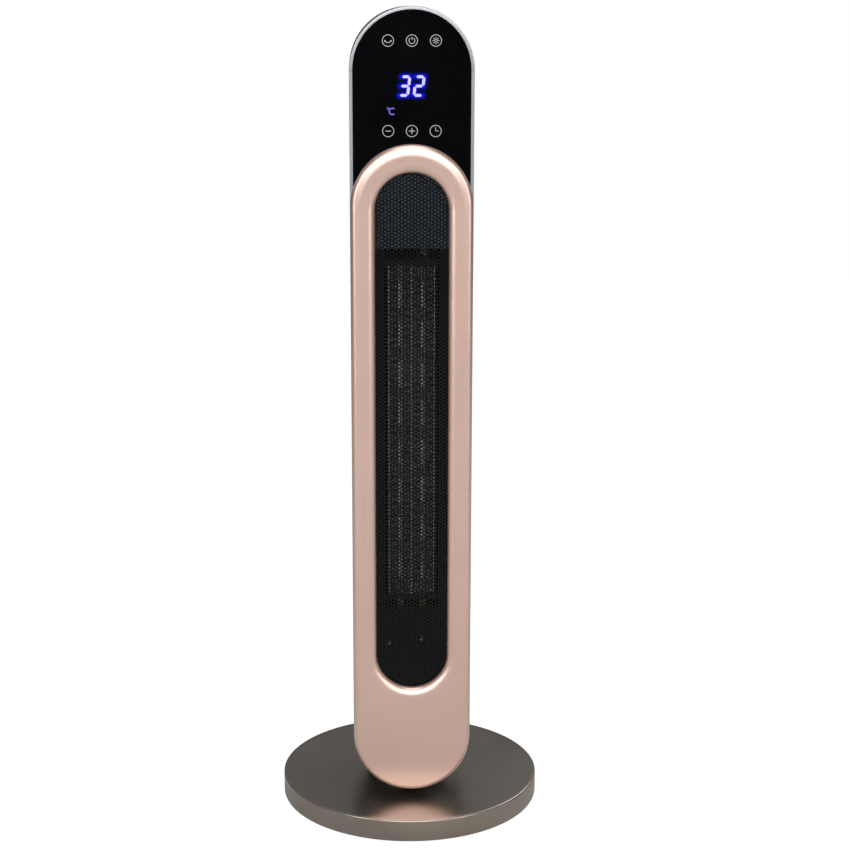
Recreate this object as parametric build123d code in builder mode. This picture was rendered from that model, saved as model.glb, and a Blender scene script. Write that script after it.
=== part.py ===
from build123d import *
from math import acos, cos, pi, radians, sin, sqrt, tan
import os

os.makedirs("parts", exist_ok=True)

# Millimetres. The swivel axis is the Z axis, the floor is z = 0 and the front faces -Y.

# Whole heater
total_height = 800.0
tower_width = 116.0
front_reach = 78.0
rear_reach = 58.0
base_diameter = 262.0
base_height = 24.0
tip_gap = 7.0

# Fits shared by many pieces
running_gap = 0.05
seat_gap = 0.2
screw_radius = 1.5
screw_head_radius = 3.2
screw_head_height = 1.8

# Tower casing
panel_depth = 8.0
side_band_depth = 30.0
rim_width = 3.0
rim_bevel = 0.8
cap_seam = 0.5
shell_wall = 2.5
rear_rounding = 22.0
neck_radius = 44.0
neck_wall = 3.0

# Front panel and its air outlet
panel_drop = 125.0
panel_inset = 0.4
panel_wall = 3.0
panel_side_wall = 3.1
panel_outer_rounding = 5.0
outlet_width = 69.6
outlet_wall = 5.2
outlet_lip_rounding = 7.0
blank_below_outlet = 109.0
ring_above_outlet = 26.5
peg_radius = 2.5
peg_side = 46.5
peg_shares = (0.12, 0.8)

# Perforated outlet grille
grille_thickness = 1.0
grille_rim = 5.2
hole_pitch = 15.0
hole_across_flats = 12.4
hole_margin = 1.5

# Control glass and what lies behind it
glass_thickness = 2.0
glass_bevel = 0.4
glass_overlap = 8.0
touch_spacing = 22.0
upper_icons_drop = 31.0
lower_icons_drop = 113.0
digits_drop = 72.0
digits_width = 28.0
digits_height = 26.0
touch_pad_side = 7.5
board_thickness = 1.6
display_board_half_width = 42.0
display_board_height = 122.0
standoff_radius = 3.0
standoff_height = 5.5
display_post_x = 37.0
display_post_inset = 6.0
display_post_rise = 14.0

# Front frame, which everything in the tower is screwed to
frame_plate = 4.0
frame_wall = 2.5
frame_lap = 4.0
frame_post_radius = 4.5
well_radius = 5.5
well_bore = 4.0
well_floor = 3.0
well_reach = 41.0
well_side = 47.5
well_below_outlet = 10.0
well_below_panel_top = 35.0
case_screw_bore = 14.0
screw_tip_gap = 2.0

# Heater window behind the grille
baffle_plate = 2.5
baffle_half_width = 42.0
baffle_overlap = 7.5
window_width = 52.0
window_below_outlet_top = 71.5
window_above_outlet_bottom = 82.0
duct_wall = 2.0
outlet_duct_depth = 21.5
baffle_screws = ((-22.5, 45.0), (9.5, 49.0))
baffle_boss_radius = 3.5
board_post_x = 24.0
board_post_lifts = (6.0, 68.0)
terminal_slot_depth = 4.0
terminal_slot_margin = 1.0
baffle_screw_reach = 4.5
screw_head_bevel = 0.7

# Ceramic heating element
element_depth = 14.0
element_setback = 3.5
element_top_margin = 17.0
element_bottom_margin = 12.0
fin_width = 8.6
fin_pitch = 10.8
fin_sheet = 0.7
stone_thickness = 2.2
stone_length = 24.0
stone_pitch = 38.5
stone_inset = 0.5
electrode_sheet = 0.6
side_sheet = 1.0
centre_sheet = 1.2
end_cap_height = 6.0
end_cap_lap = 1.0
terminal_width = 6.3
terminal_sheet = 0.8
terminal_length = 22.0

# Cross-flow fan, its duct and its motor
fan_setback = 14.0
fan_radius = 29.5
fan_end_gap = 3.0
fan_disc = 1.6
blade_count = 18
blade_depth = 7.5
blade_sheet = 1.2
blade_bow = 1.2
blade_lean = 26.0
blade_inset = 0.6
middle_disc_rim = 3.0
hub_radius = 7.0
hub_length = 12.0
shaft_radius = 2.5
press_gap = 0.02
shaft_hole_gap = 2.0
shaft_tail = 4.0
stub_tail = 2.0
stub_bevel = 0.5
scroll_gap_rear = 2.5
scroll_gap_front = 10.0
scroll_end_angle = 75.0
scroll_start_angle = -20.0
nose_angle = 205.0
nose_gap = 2.5
nose_radius = 2.2
tongue_taper = 8.0
end_plate = 3.0
bearing_radius = 9.0
bearing_flange = 2.0
bearing_flange_lap = 3.0
motor_stack_width = 50.0
motor_stack_height = 18.0
motor_drop = 21.0
stack_web = 8.0
stack_corner = 3.0
rotor_radius = 12.0
rotor_air_gap = 0.4
rotor_recess = 0.5
coil_width = 24.0
coil_leg = 10.0
coil_build = 6.0
bracket_sheet = 3.0
bracket_rise = 6.0
bracket_width = 14.0
bracket_foot = 6.0
spacer_radius = 4.0
spacer_inset = 5.0
cutout_radius = 8.0
cutout_height = 10.0
cutout_x = 14.0
cutout_setback = 12.0
fuse_radius = 2.0
fuse_length = 16.0
fuse_setback = 10.0

# Swivel between base and tower
post_radius = 17.0
post_bore = 11.0
post_flange_radius = 34.0
post_flange = 3.0
post_bevel = 0.8
washer_thickness = 1.0
sleeve_wall = 4.0
neck_floor = 4.0
sleeve_height = 41.0
neck_boss_radius = 4.5
neck_boss_x = 28.0
neck_boss_y = 20.0
neck_cut_height = 20.0
gear_module = 1.0
gear_teeth = 48
pinion_teeth = 16
gear_face = 6.0
gear_backlash = 0.3
gear_centre_slack = 0.1
gear_rest_gap = 0.3
gear_flange = 2.0
pressure_angle = 20.0
tooth_depth = 1.25 * gear_module
tooth_foot = 0.6
lock_ring = 2.0
lock_ring_lap = 3.0
lock_ring_bevel = 0.5
swing_limit = 35.0
swing_motor_radius = 18.0
swing_motor_height = 16.0
swing_motor_bevel = 1.5
swing_shaft_offset = 8.0
swing_shaft_grip = 3.0
ear_lap = 4.0
ear_width = 8.0
ear_sheet = 1.2
swing_bracket_plate = 2.5
swing_bracket_gap = 1.2
swing_bracket_width = 20.0
swing_leg_x = 32.0
swing_leg_radius = 4.0

# Base
base_wall = 2.5
base_bevel = 1.2
foot_height = 3.5
foot_radius = 9.0
foot_bevel = 0.8
foot_count = 6
foot_margin = 23.0
bottom_plate = 2.5
cover_skirt_lift = 2.0
ballast_thickness = 6.0
ballast_inner_radius = 44.0
ballast_margin = 31.0
base_screw_count = 3
base_screw_margin = 14.0
base_screw_grip = 8.0
base_boss_radius = 5.0
rib_count = 8
rib_sheet = 2.0
gland_radius = 6.0
gland_bore = 3.6
gland_length = 18.0
gland_flange_radius = 7.5
gland_flange = 3.0
gland_recess = 0.3

# Rear of the tower
intake_half_width = 33.0
intake_ledge = 2.5
intake_sheet = 1.5
slat_pitch = 11.5
slat_gap = 6.5
slat_border = 5.0
intake_rise = 10.0
intake_drop = 5.0
filter_thickness = 2.0
filter_lap = 1.5
filter_end_lap = 3.0
filter_rim = 3.0
filter_bar = 1.6
filter_rows = 12
handle_width = 78.0
handle_height = 26.0
handle_depth = 26.0
handle_drop = 92.0
handle_skin = 1.5
switch_lift = 124.0
switch_width = 15.0
switch_height = 21.0
switch_bezel = 2.0
switch_bezel_border = 1.6
switch_bezel_lap = 1.5
switch_body_depth = 14.0
switch_well = 8.0
rocker_tilt = 9.0
rocker_clear = 0.4
rocker_setback = 1.5
rocker_end_gap = 0.9
rocker_root = 4.0
rocker_skirt = 2.2
rocker_tip = 4.4
rocker_dip = 3.4

# Boards and what they carry
control_board_width = 68.0
control_board_drop = 2.0
terminal_overlap = 11.0
relay_width = 19.0
relay_height = 15.5
relay_depth = 15.0
relay_gap = 3.0
relay_x = -20.0
capacitor_width = 14.0
capacitor_height = 26.0
capacitor_depth = 12.0
capacitor_x = 18.0
parts_lift = 44.0
tilt_switch_width = 16.0
tilt_switch_height = 14.0
tilt_switch_depth = 12.0
tilt_switch_lift = 16.0
part_corner = 1.0

# Levels and faces that follow from the sizes above
tower_half = tower_width / 2
tower_low = base_height + tip_gap
upper_arch = total_height - tower_half
rim_y = panel_depth - front_reach
seam_y = rim_y + side_band_depth
rear_y = rear_reach
glass_back_y = rim_y + glass_thickness
frame_back_y = rim_y + frame_plate
frame_half = tower_half - rim_width - seat_gap
panel_top = total_height - panel_drop
panel_arch = panel_top - tower_half
outlet_half = outlet_width / 2
outlet_low = tower_low + blank_below_outlet
outlet_high = panel_top - ring_above_outlet
grille_half = outlet_half + grille_rim
baffle_back_y = frame_back_y + baffle_plate
window_half = window_width / 2
window_low = outlet_low + window_above_outlet_bottom
window_high = outlet_high - window_below_outlet_top
duct_y = baffle_back_y + outlet_duct_depth


def upright(y):
    """Plane across the tower at depth y, with its normal to the front."""
    return Plane.XZ.offset(-y)


def stadium(half_width, low, high, mode=Mode.ADD):
    """Upright slot with fully round ends between two heights."""
    with Locations((0, (low + high) / 2)):
        SlotOverall(high - low, 2 * half_width, rotation=90, mode=mode)


def write(piece, name):
    """Labels a finished piece and writes its STEP file."""
    piece.part.label = name
    export_step(piece.part, f"parts/{name}.step")


# Tower envelope: the outside of the whole casing behind the front rim. It shapes the rear shell
# and trims what has to meet the shell from outside.
with BuildPart() as tower_envelope:
    with BuildSketch(upright(rim_y)):
        stadium(tower_half, tower_low, total_height)
    extrude(amount=rim_y - rear_y)
    fillet(tower_envelope.faces().sort_by(Axis.Y)[-1].edges(), rear_rounding)

# Base cover: turned and brushed metal disc with a fine bevel, hollow below, with ribs and bosses
cover_low = cover_skirt_lift
cover_ceiling = base_height - base_wall
base_radius = base_diameter / 2
plate_top = foot_height + bottom_plate
ballast_top = plate_top + ballast_thickness
ballast_outer_radius = base_radius - ballast_margin
base_screw_circle = base_radius - base_screw_margin
gland_height = (plate_top + cover_ceiling) / 2
with BuildPart() as base_cover:
    with BuildSketch(Plane.XY.offset(cover_low)):
        Circle(base_radius)
    extrude(amount=base_height - cover_low)
    chamfer(base_cover.edges().group_by(Axis.Z)[-1], base_bevel)
    with BuildSketch(Plane.XY.offset(cover_low)):
        Circle(base_radius - base_wall)
    extrude(amount=cover_ceiling - cover_low, mode=Mode.SUBTRACT)
    rib_inner = post_flange_radius + 2 * seat_gap
    rib_outer = base_radius - base_wall
    with BuildSketch(Plane.XY.offset(ballast_top + seat_gap)):
        with PolarLocations((rib_inner + rib_outer) / 2, rib_count, start_angle=180 / rib_count):
            Rectangle(rib_outer - rib_inner, rib_sheet)
    extrude(amount=cover_ceiling - ballast_top - seat_gap)
    with BuildSketch(Plane.XY.offset(plate_top)):
        with PolarLocations(base_screw_circle, base_screw_count):
            Circle(base_boss_radius)
    extrude(amount=cover_ceiling - plate_top)
    with BuildSketch(Plane.XY.offset(plate_top)):
        with PolarLocations(base_screw_circle, base_screw_count):
            Circle(screw_radius + running_gap)
    extrude(amount=base_screw_grip + screw_tip_gap, mode=Mode.SUBTRACT)
    with BuildSketch(Plane.XY.offset(cover_low)):
        Circle(post_radius + seat_gap)
    extrude(amount=base_height, mode=Mode.SUBTRACT)
    with BuildSketch(upright(base_radius + 1)):
        with Locations((0, gland_height)):
            Circle(gland_radius + seat_gap)
    extrude(amount=2 * base_wall, mode=Mode.SUBTRACT)
write(base_cover, "base_cover")

# Bottom plate: closes the base and carries the rubber feet
with BuildPart() as base_bottom_plate:
    with BuildSketch(Plane.XY.offset(foot_height)):
        Circle(base_radius - base_wall - seat_gap)
        with PolarLocations(base_screw_circle, base_screw_count):
            Circle(screw_radius + seat_gap, mode=Mode.SUBTRACT)
    extrude(amount=bottom_plate)
write(base_bottom_plate, "base_bottom_plate")

# Ballast: the steel ring that keeps the tall tower standing
with BuildPart() as ballast_ring:
    with BuildSketch(Plane.XY.offset(plate_top)):
        Circle(ballast_outer_radius)
        Circle(ballast_inner_radius, mode=Mode.SUBTRACT)
    extrude(amount=ballast_thickness)
write(ballast_ring, "ballast_ring")

# Rubber feet: six pads bonded under the bottom plate
with BuildPart() as rubber_feet:
    with BuildSketch():
        with PolarLocations(base_radius - foot_margin, foot_count, start_angle=180 / foot_count):
            Circle(foot_radius)
    extrude(amount=foot_height)
    chamfer(rubber_feet.edges().group_by(Axis.Z)[0], foot_bevel)
write(rubber_feet, "rubber_feet")

# Base screws: pan heads from below into the cover's bosses
with BuildPart() as base_screws:
    with BuildSketch(Plane.XY.offset(foot_height - screw_head_height)):
        with PolarLocations(base_screw_circle, base_screw_count):
            Circle(screw_head_radius)
    extrude(amount=screw_head_height)
    with BuildSketch(Plane.XY.offset(foot_height)):
        with PolarLocations(base_screw_circle, base_screw_count):
            Circle(screw_radius)
    extrude(amount=bottom_plate + base_screw_grip)
write(base_screws, "base_screws")

# Cord gland: rubber bush in the side wall at the back of the base, flush outside, flanged inside
with BuildPart() as cord_gland:
    with BuildSketch(upright(base_radius - gland_recess)):
        with Locations((0, gland_height)):
            Circle(gland_radius)
    extrude(amount=gland_length)
    with BuildSketch(upright(sqrt((base_radius - base_wall) ** 2 - gland_flange_radius**2) - seat_gap)):
        with Locations((0, gland_height)):
            Circle(gland_flange_radius)
    extrude(amount=gland_flange)
    with BuildSketch(upright(base_radius)):
        with Locations((0, gland_height)):
            Circle(gland_bore)
    extrude(amount=gland_length + 2, mode=Mode.SUBTRACT)
write(cord_gland, "cord_gland")

# Pivot post: flanged tube screwed under the base cover, which the tower turns on. The wires pass
# through its bore.
washer_top = base_height + washer_thickness
sleeve_top = washer_top + sleeve_height
gear_low = sleeve_top + gear_rest_gap
post_top = gear_low + gear_flange + gear_face
with BuildPart() as pivot_post:
    with BuildSketch(Plane.XZ):
        with BuildLine():
            Polyline(
                (post_bore, cover_ceiling - post_flange),
                (post_flange_radius, cover_ceiling - post_flange),
                (post_flange_radius, cover_ceiling),
                (post_radius, cover_ceiling),
                (post_radius, post_top),
                (post_bore, post_top),
                close=True,
            )
        make_face()
    revolve(axis=Axis.Z)
    top_circles = pivot_post.edges().filter_by(GeomType.CIRCLE).group_by(Axis.Z)[-1]
    top_inner_edge = top_circles.sort_by(SortBy.RADIUS)[0]
    chamfer(top_inner_edge, post_bevel)
write(pivot_post, "pivot_post")

# Thrust washer: slippery plastic ring between base and neck
with BuildPart() as thrust_washer:
    with BuildSketch(Plane.XY.offset(base_height)):
        Circle(neck_radius - neck_wall)
        Circle(post_radius + seat_gap, mode=Mode.SUBTRACT)
    extrude(amount=washer_thickness)
write(thrust_washer, "thrust_washer")

# Neck: black turning foot of the tower, with a sleeve on the post and bosses up to the shell
neck_boss_places = [(x, y) for x in (-neck_boss_x, neck_boss_x) for y in (-neck_boss_y, neck_boss_y)]
with BuildPart() as neck:
    with BuildSketch(Plane.XY.offset(washer_top)):
        Circle(neck_radius)
    extrude(amount=tower_half)
    with BuildSketch(Plane.XY.offset(washer_top + neck_floor)):
        Circle(neck_radius - neck_wall)
    extrude(amount=tower_half, mode=Mode.SUBTRACT)
    with BuildSketch(Plane.XY.offset(washer_top)):
        with Locations(*neck_boss_places):
            Circle(neck_boss_radius)
    extrude(amount=tower_half)
    add(tower_envelope.part, mode=Mode.SUBTRACT)
    with BuildSketch(Plane.XY.offset(washer_top)):
        Circle(post_radius + running_gap + sleeve_wall)
    extrude(amount=sleeve_height)
    with BuildSketch(Plane.XY.offset(washer_top)):
        Circle(post_radius + running_gap)
    extrude(amount=sleeve_height, mode=Mode.SUBTRACT)
    with BuildSketch(Plane.XY.offset(washer_top)):
        with Locations(*neck_boss_places):
            Circle(screw_radius + seat_gap)
    extrude(amount=tower_half, mode=Mode.SUBTRACT)
write(neck, "neck")


def tooth_outline(teeth, centre_angle, shrink):
    """Corners of one involute tooth, from just under its root to its tip and back."""
    pitch_radius = gear_module * teeth / 2
    base_circle = pitch_radius * cos(radians(pressure_angle))
    root = pitch_radius - tooth_depth
    tip = pitch_radius + gear_module
    half_pitch_angle = pi / (2 * teeth) - shrink / (2 * pitch_radius)

    def involute(radius):
        pressure = acos(min(1, base_circle / radius))
        return tan(pressure) - pressure

    radii = [root - tooth_foot, max(root, base_circle), pitch_radius, (pitch_radius + tip) / 2, tip]
    halves = [half_pitch_angle + involute(pitch_radius) - involute(max(r, base_circle)) for r in radii]
    left = [(r * cos(centre_angle - h), r * sin(centre_angle - h)) for r, h in zip(radii, halves)]
    right = [(r * cos(centre_angle + h), r * sin(centre_angle + h)) for r, h in zip(radii, halves)]
    return left + right[::-1]


# Fixed swing gear: toothed sector keyed on the post. Its lower flange holds the neck down.
gear_pitch_radius = gear_module * gear_teeth / 2
pinion_pitch_radius = gear_module * pinion_teeth / 2
gear_distance = gear_pitch_radius + pinion_pitch_radius + gear_centre_slack
tooth_step = 2 * pi / gear_teeth
sector_side_teeth = int(radians(swing_limit) / tooth_step) + 3
teeth_low = gear_low + gear_flange
with BuildPart() as swing_gear:
    with BuildSketch(Plane.XY.offset(gear_low)):
        Circle(gear_pitch_radius - tooth_depth)
    extrude(amount=gear_flange + gear_face)
    with BuildSketch(Plane.XY.offset(teeth_low)):
        for step in range(-sector_side_teeth, sector_side_teeth + 1):
            Polygon(*tooth_outline(gear_teeth, pi / 2 + step * tooth_step, gear_backlash / 2), align=None)
    extrude(amount=gear_face)
    with BuildSketch(Plane.XY.offset(gear_low)):
        Circle(post_radius + running_gap)
    extrude(amount=gear_flange + gear_face, mode=Mode.SUBTRACT)
write(swing_gear, "swing_gear")

# Lock ring: washer screwed on the post's end, which clamps the gear
with BuildPart() as gear_lock_ring:
    with BuildSketch(Plane.XY.offset(post_top)):
        Circle(post_radius + lock_ring_lap)
        Circle(post_bore + post_bevel, mode=Mode.SUBTRACT)
    extrude(amount=lock_ring)
    chamfer(gear_lock_ring.edges().group_by(Axis.Z)[-1], lock_ring_bevel)
write(gear_lock_ring, "gear_lock_ring")

# Swing pinion and its shaft, driven round the fixed gear
pinion_low = teeth_low + gear_rest_gap
pinion_face = gear_face - 2 * gear_rest_gap
swing_bracket_low = post_top + lock_ring + swing_bracket_gap
swing_motor_low = swing_bracket_low + swing_bracket_plate
with BuildPart() as swing_pinion:
    with BuildSketch(Plane.XY.offset(pinion_low)):
        with Locations((0, gear_distance)):
            Circle(pinion_pitch_radius - tooth_depth)
            for tooth in range(pinion_teeth):
                turn = -pi / 2 + (tooth + 0.5) * 2 * pi / pinion_teeth
                Polygon(*tooth_outline(pinion_teeth, turn, gear_backlash / 2), align=None)
            Circle(shaft_radius + press_gap, mode=Mode.SUBTRACT)
    extrude(amount=pinion_face)
write(swing_pinion, "swing_pinion")

with BuildPart() as swing_motor_shaft:
    with BuildSketch(Plane.XY.offset(pinion_low)):
        with Locations((0, gear_distance)):
            Circle(shaft_radius)
    extrude(amount=swing_motor_low + swing_shaft_grip - pinion_low)
write(swing_motor_shaft, "swing_motor_shaft")

# Swing motor: flat geared can with two ears and an off-centre output boss
swing_motor_y = gear_distance - swing_shaft_offset
ear_reach = swing_motor_radius + ear_lap
with BuildPart() as swing_motor:
    with BuildSketch(Plane.XY.offset(swing_motor_low)):
        with Locations((0, swing_motor_y)):
            Circle(swing_motor_radius)
    extrude(amount=swing_motor_height)
    chamfer(swing_motor.edges().group_by(Axis.Z)[-1], swing_motor_bevel)
    with BuildSketch(Plane.XY.offset(swing_motor_low)):
        with Locations((0, swing_motor_y)):
            SlotCenterToCenter(2 * ear_reach, ear_width)
        with Locations((-ear_reach, swing_motor_y), (ear_reach, swing_motor_y)):
            Circle(screw_radius + seat_gap, mode=Mode.SUBTRACT)
    extrude(amount=ear_sheet)
    with BuildSketch(Plane.XY.offset(swing_motor_low)):
        with Locations((0, gear_distance)):
            Circle(shaft_radius + running_gap)
    extrude(amount=swing_shaft_grip + seat_gap, mode=Mode.SUBTRACT)
write(swing_motor, "swing_motor")

# Casing interior: the space inside the rear shell, which trims legs and bosses to its wall
with BuildPart() as casing_interior:
    with BuildSketch(upright(seam_y)):
        stadium(tower_half - shell_wall, tower_low + shell_wall, total_height - shell_wall)
    extrude(amount=seam_y - rear_y + shell_wall)
    fillet(casing_interior.faces().sort_by(Axis.Y)[-1].edges(), rear_rounding - shell_wall)

# Swing bracket: plate on two legs from the floor of the casing, which carries the motor
leg_centre_x = swing_leg_x + swing_leg_radius
with BuildPart() as swing_bracket:
    with BuildSketch(Plane.XY.offset(swing_bracket_low)):
        with Locations((0, swing_motor_y)):
            SlotCenterToCenter(2 * swing_leg_x, swing_bracket_width)
        with Locations((0, gear_distance)):
            Circle(shaft_radius + shaft_hole_gap, mode=Mode.SUBTRACT)
    extrude(amount=swing_bracket_plate)
    with BuildSketch(Plane.XY.offset(tower_low)):
        with Locations((-leg_centre_x, swing_motor_y), (leg_centre_x, swing_motor_y)):
            Circle(swing_leg_radius)
    extrude(amount=swing_bracket_low - tower_low)
    add(casing_interior.part, mode=Mode.INTERSECT)
write(swing_bracket, "swing_bracket")

# Screw wells: deep tubes from the back of the shell to the posts of the front frame
well_front_y = frame_back_y + well_reach
well_heights = (outlet_low - well_below_outlet, panel_top - well_below_panel_top)
well_places = [(side * well_side, height) for side in (-1, 1) for height in well_heights]
with BuildPart() as screw_wells:
    with BuildSketch(upright(rear_y)):
        with Locations(*well_places):
            Circle(well_radius)
    extrude(amount=rear_y - well_front_y)
    add(tower_envelope.part, mode=Mode.INTERSECT)

# Rear shell: moulded casing with the intake window, the carrying recess, the switch cut-out and
# the screw wells
intake_low = window_low + intake_rise
intake_high = window_high - intake_drop
handle_z = total_height - handle_drop
switch_z = tower_low + switch_lift
with BuildPart() as rear_shell:
    with BuildSketch(upright(seam_y)):
        stadium(tower_half, tower_low, total_height)
    extrude(amount=seam_y - rear_y)
    fillet(rear_shell.faces().sort_by(Axis.Y)[-1].edges(), rear_rounding)
    add(casing_interior.part, mode=Mode.SUBTRACT)
    add(screw_wells.part)
    with BuildSketch(upright(rear_y)):
        with Locations(*well_places):
            Circle(well_bore)
    extrude(amount=rear_y - well_front_y - well_floor, mode=Mode.SUBTRACT)
    with BuildSketch(upright(rear_y)):
        with Locations(*well_places):
            Circle(screw_radius + seat_gap)
    extrude(amount=rear_y - well_front_y, mode=Mode.SUBTRACT)
    with BuildSketch(upright(rear_y - handle_skin)):
        with Locations((0, handle_z)):
            SlotOverall(handle_width + 2 * shell_wall, handle_height + 2 * shell_wall)
    extrude(amount=handle_depth + shell_wall - handle_skin)
    with BuildSketch(upright(rear_y)):
        with Locations((0, handle_z)):
            SlotOverall(handle_width, handle_height)
    extrude(amount=handle_depth, mode=Mode.SUBTRACT)
    with BuildSketch(upright(rear_y)):
        stadium(intake_half_width, intake_low, intake_high)
    extrude(amount=intake_sheet, mode=Mode.SUBTRACT)
    with BuildSketch(upright(rear_y)):
        stadium(intake_half_width - intake_ledge, intake_low + intake_ledge, intake_high - intake_ledge)
    extrude(amount=2 * shell_wall, mode=Mode.SUBTRACT)
    with BuildSketch(upright(rear_y)):
        with Locations((0, switch_z)):
            Rectangle(switch_width + 2 * seat_gap, switch_height + 2 * seat_gap)
    extrude(amount=2 * shell_wall, mode=Mode.SUBTRACT)
    with BuildSketch(Plane.XY.offset(base_height)):
        Circle(post_radius + running_gap + sleeve_wall + seat_gap)
        with Locations(*neck_boss_places):
            Circle(screw_radius + seat_gap)
    extrude(amount=neck_cut_height, mode=Mode.SUBTRACT)
write(rear_shell, "rear_shell")

# Silver band round the front edge of the casing, in two pieces that meet at a fine seam
with BuildPart() as side_band:
    with BuildSketch(upright(seam_y)):
        stadium(tower_half, tower_low, total_height)
        stadium(tower_half - rim_width, tower_low + rim_width, total_height - rim_width, mode=Mode.SUBTRACT)
    extrude(amount=side_band_depth)
    chamfer(side_band.faces().sort_by(Axis.Y)[0].outer_wire().edges(), rim_bevel)
    split(bisect_by=Plane.XY.offset(upper_arch - cap_seam / 2), keep=Keep.BOTTOM)
write(side_band, "side_band")

with BuildPart() as top_cap:
    with BuildSketch(upright(seam_y)):
        stadium(tower_half, tower_low, total_height)
        stadium(tower_half - rim_width, tower_low + rim_width, total_height - rim_width, mode=Mode.SUBTRACT)
    extrude(amount=side_band_depth)
    chamfer(top_cap.faces().sort_by(Axis.Y)[0].outer_wire().edges(), rim_bevel)
    split(bisect_by=Plane.XY.offset(upper_arch + cap_seam / 2), keep=Keep.TOP)
write(top_cap, "top_cap")


def glass_outline(half_width):
    """Arched glass: round at the top, and hollowed below where the front panel overlaps it."""
    with Locations((0, (panel_arch + upper_arch) / 2)):
        Rectangle(2 * half_width, upper_arch - panel_arch)
    with Locations((0, upper_arch)):
        Circle(half_width)
    with Locations((0, panel_arch)):
        Circle(tower_half - glass_overlap, mode=Mode.SUBTRACT)


# Control glass: black touch panel over the display
with BuildPart() as control_glass:
    with BuildSketch(upright(glass_back_y)):
        glass_outline(frame_half)
    extrude(amount=glass_thickness)
    chamfer(control_glass.faces().sort_by(Axis.Y)[0].edges(), glass_bevel)
write(control_glass, "control_glass")

# Front frame: the moulding that carries glass, grille, panel, boards and duct
frame_low = tower_low + rim_width + seat_gap
frame_high = total_height - rim_width - seat_gap
touch_places = [
    (column * touch_spacing, total_height - drop)
    for drop in (upper_icons_drop, lower_icons_drop)
    for column in (-1, 0, 1)
]
digits_z = total_height - digits_drop
display_low = total_height - tower_half + display_board_half_width - display_board_height
display_post_heights = (display_low + display_post_inset, upper_arch + display_post_rise)
display_posts = [(x, z) for x in (-display_post_x, display_post_x) for z in display_post_heights]
peg_heights = [outlet_low + share * (outlet_high - outlet_low) for share in peg_shares]
peg_places = [(x, z) for x in (-peg_side, peg_side) for z in peg_heights]
with BuildPart() as front_frame:
    with BuildSketch(upright(frame_back_y)):
        stadium(frame_half, frame_low, frame_high)
    extrude(amount=frame_plate)
    with BuildSketch(upright(seam_y + frame_lap)):
        stadium(frame_half, frame_low, frame_high)
        stadium(frame_half - frame_wall, frame_low + frame_wall, frame_high - frame_wall, mode=Mode.SUBTRACT)
    extrude(amount=seam_y + frame_lap - frame_back_y)
    with BuildSketch(upright(well_front_y)):
        with Locations(*well_places):
            Circle(frame_post_radius)
    extrude(amount=well_front_y - frame_back_y)
    with BuildSketch(upright(well_front_y)):
        with Locations(*well_places):
            Circle(screw_radius + running_gap)
    extrude(amount=case_screw_bore, mode=Mode.SUBTRACT)
    with BuildSketch(upright(frame_back_y + standoff_height)):
        with Locations(*display_posts):
            Circle(standoff_radius)
    extrude(amount=standoff_height)
    with BuildSketch(upright(glass_back_y)):
        glass_outline(frame_half + 1)
    extrude(amount=glass_thickness, mode=Mode.SUBTRACT)
    with BuildSketch(upright(rim_y + grille_thickness)):
        seat_rim = grille_rim + seat_gap
        stadium(outlet_half + seat_rim, outlet_low - seat_rim, outlet_high + seat_rim)
    extrude(amount=grille_thickness, mode=Mode.SUBTRACT)
    with BuildSketch(upright(frame_back_y)):
        stadium(outlet_half, outlet_low, outlet_high)
        with Locations((0, digits_z)):
            Rectangle(digits_width + 2 * seat_gap, digits_height + 2 * seat_gap)
        with Locations(*touch_places):
            Rectangle(touch_pad_side + 2 * seat_gap, touch_pad_side + 2 * seat_gap)
        with Locations(*peg_places):
            Circle(peg_radius + seat_gap)
    extrude(amount=frame_plate, mode=Mode.SUBTRACT)
write(front_frame, "front_frame")

# Front panel: rose-gold moulding with a long rounded opening, hollow behind
panel_half = tower_half - panel_inset
panel_low = tower_low + panel_inset
with BuildPart() as front_panel:
    with BuildSketch(upright(rim_y)):
        stadium(panel_half, panel_low, panel_top)
        stadium(outlet_half, outlet_low, outlet_high, mode=Mode.SUBTRACT)
    extrude(amount=panel_depth)
    panel_face = front_panel.faces().sort_by(Axis.Y)[0]
    fillet(panel_face.outer_wire().edges(), panel_outer_rounding)
    panel_face = front_panel.faces().filter_by(Axis.Y).sort_by(Axis.Y)[0]
    fillet(panel_face.inner_wires()[0].edges(), outlet_lip_rounding)
    with BuildSketch(upright(rim_y)):
        stadium(panel_half - panel_side_wall, panel_low + panel_side_wall, panel_top - panel_side_wall)
        stadium(
            outlet_half + outlet_wall,
            outlet_low - outlet_wall,
            outlet_high + outlet_wall,
            mode=Mode.SUBTRACT,
        )
    extrude(amount=panel_depth - panel_wall, mode=Mode.SUBTRACT)
    with BuildSketch(upright(frame_back_y)):
        with Locations(*peg_places):
            Circle(peg_radius)
    extrude(amount=panel_depth + frame_plate - panel_wall / 2)
write(front_panel, "front_panel")

# Outlet grille: sheet pierced in a triangular pattern, clamped between panel and frame
column_step = hole_pitch * sqrt(3) / 2
hole_radius = hole_across_flats / sqrt(3)
hole_rows = int((outlet_high - outlet_low) / hole_pitch / 2) + 1
grille_end_radius = outlet_half - hole_radius - hole_margin
hole_columns = int(grille_end_radius / column_step)


def hole_fits(x, z):
    """True where a hole lies inside the outlet's round-ended outline."""
    nearest = min(max(z, outlet_low + outlet_half), outlet_high - outlet_half)
    return x * x + (z - nearest) ** 2 <= grille_end_radius**2


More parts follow.
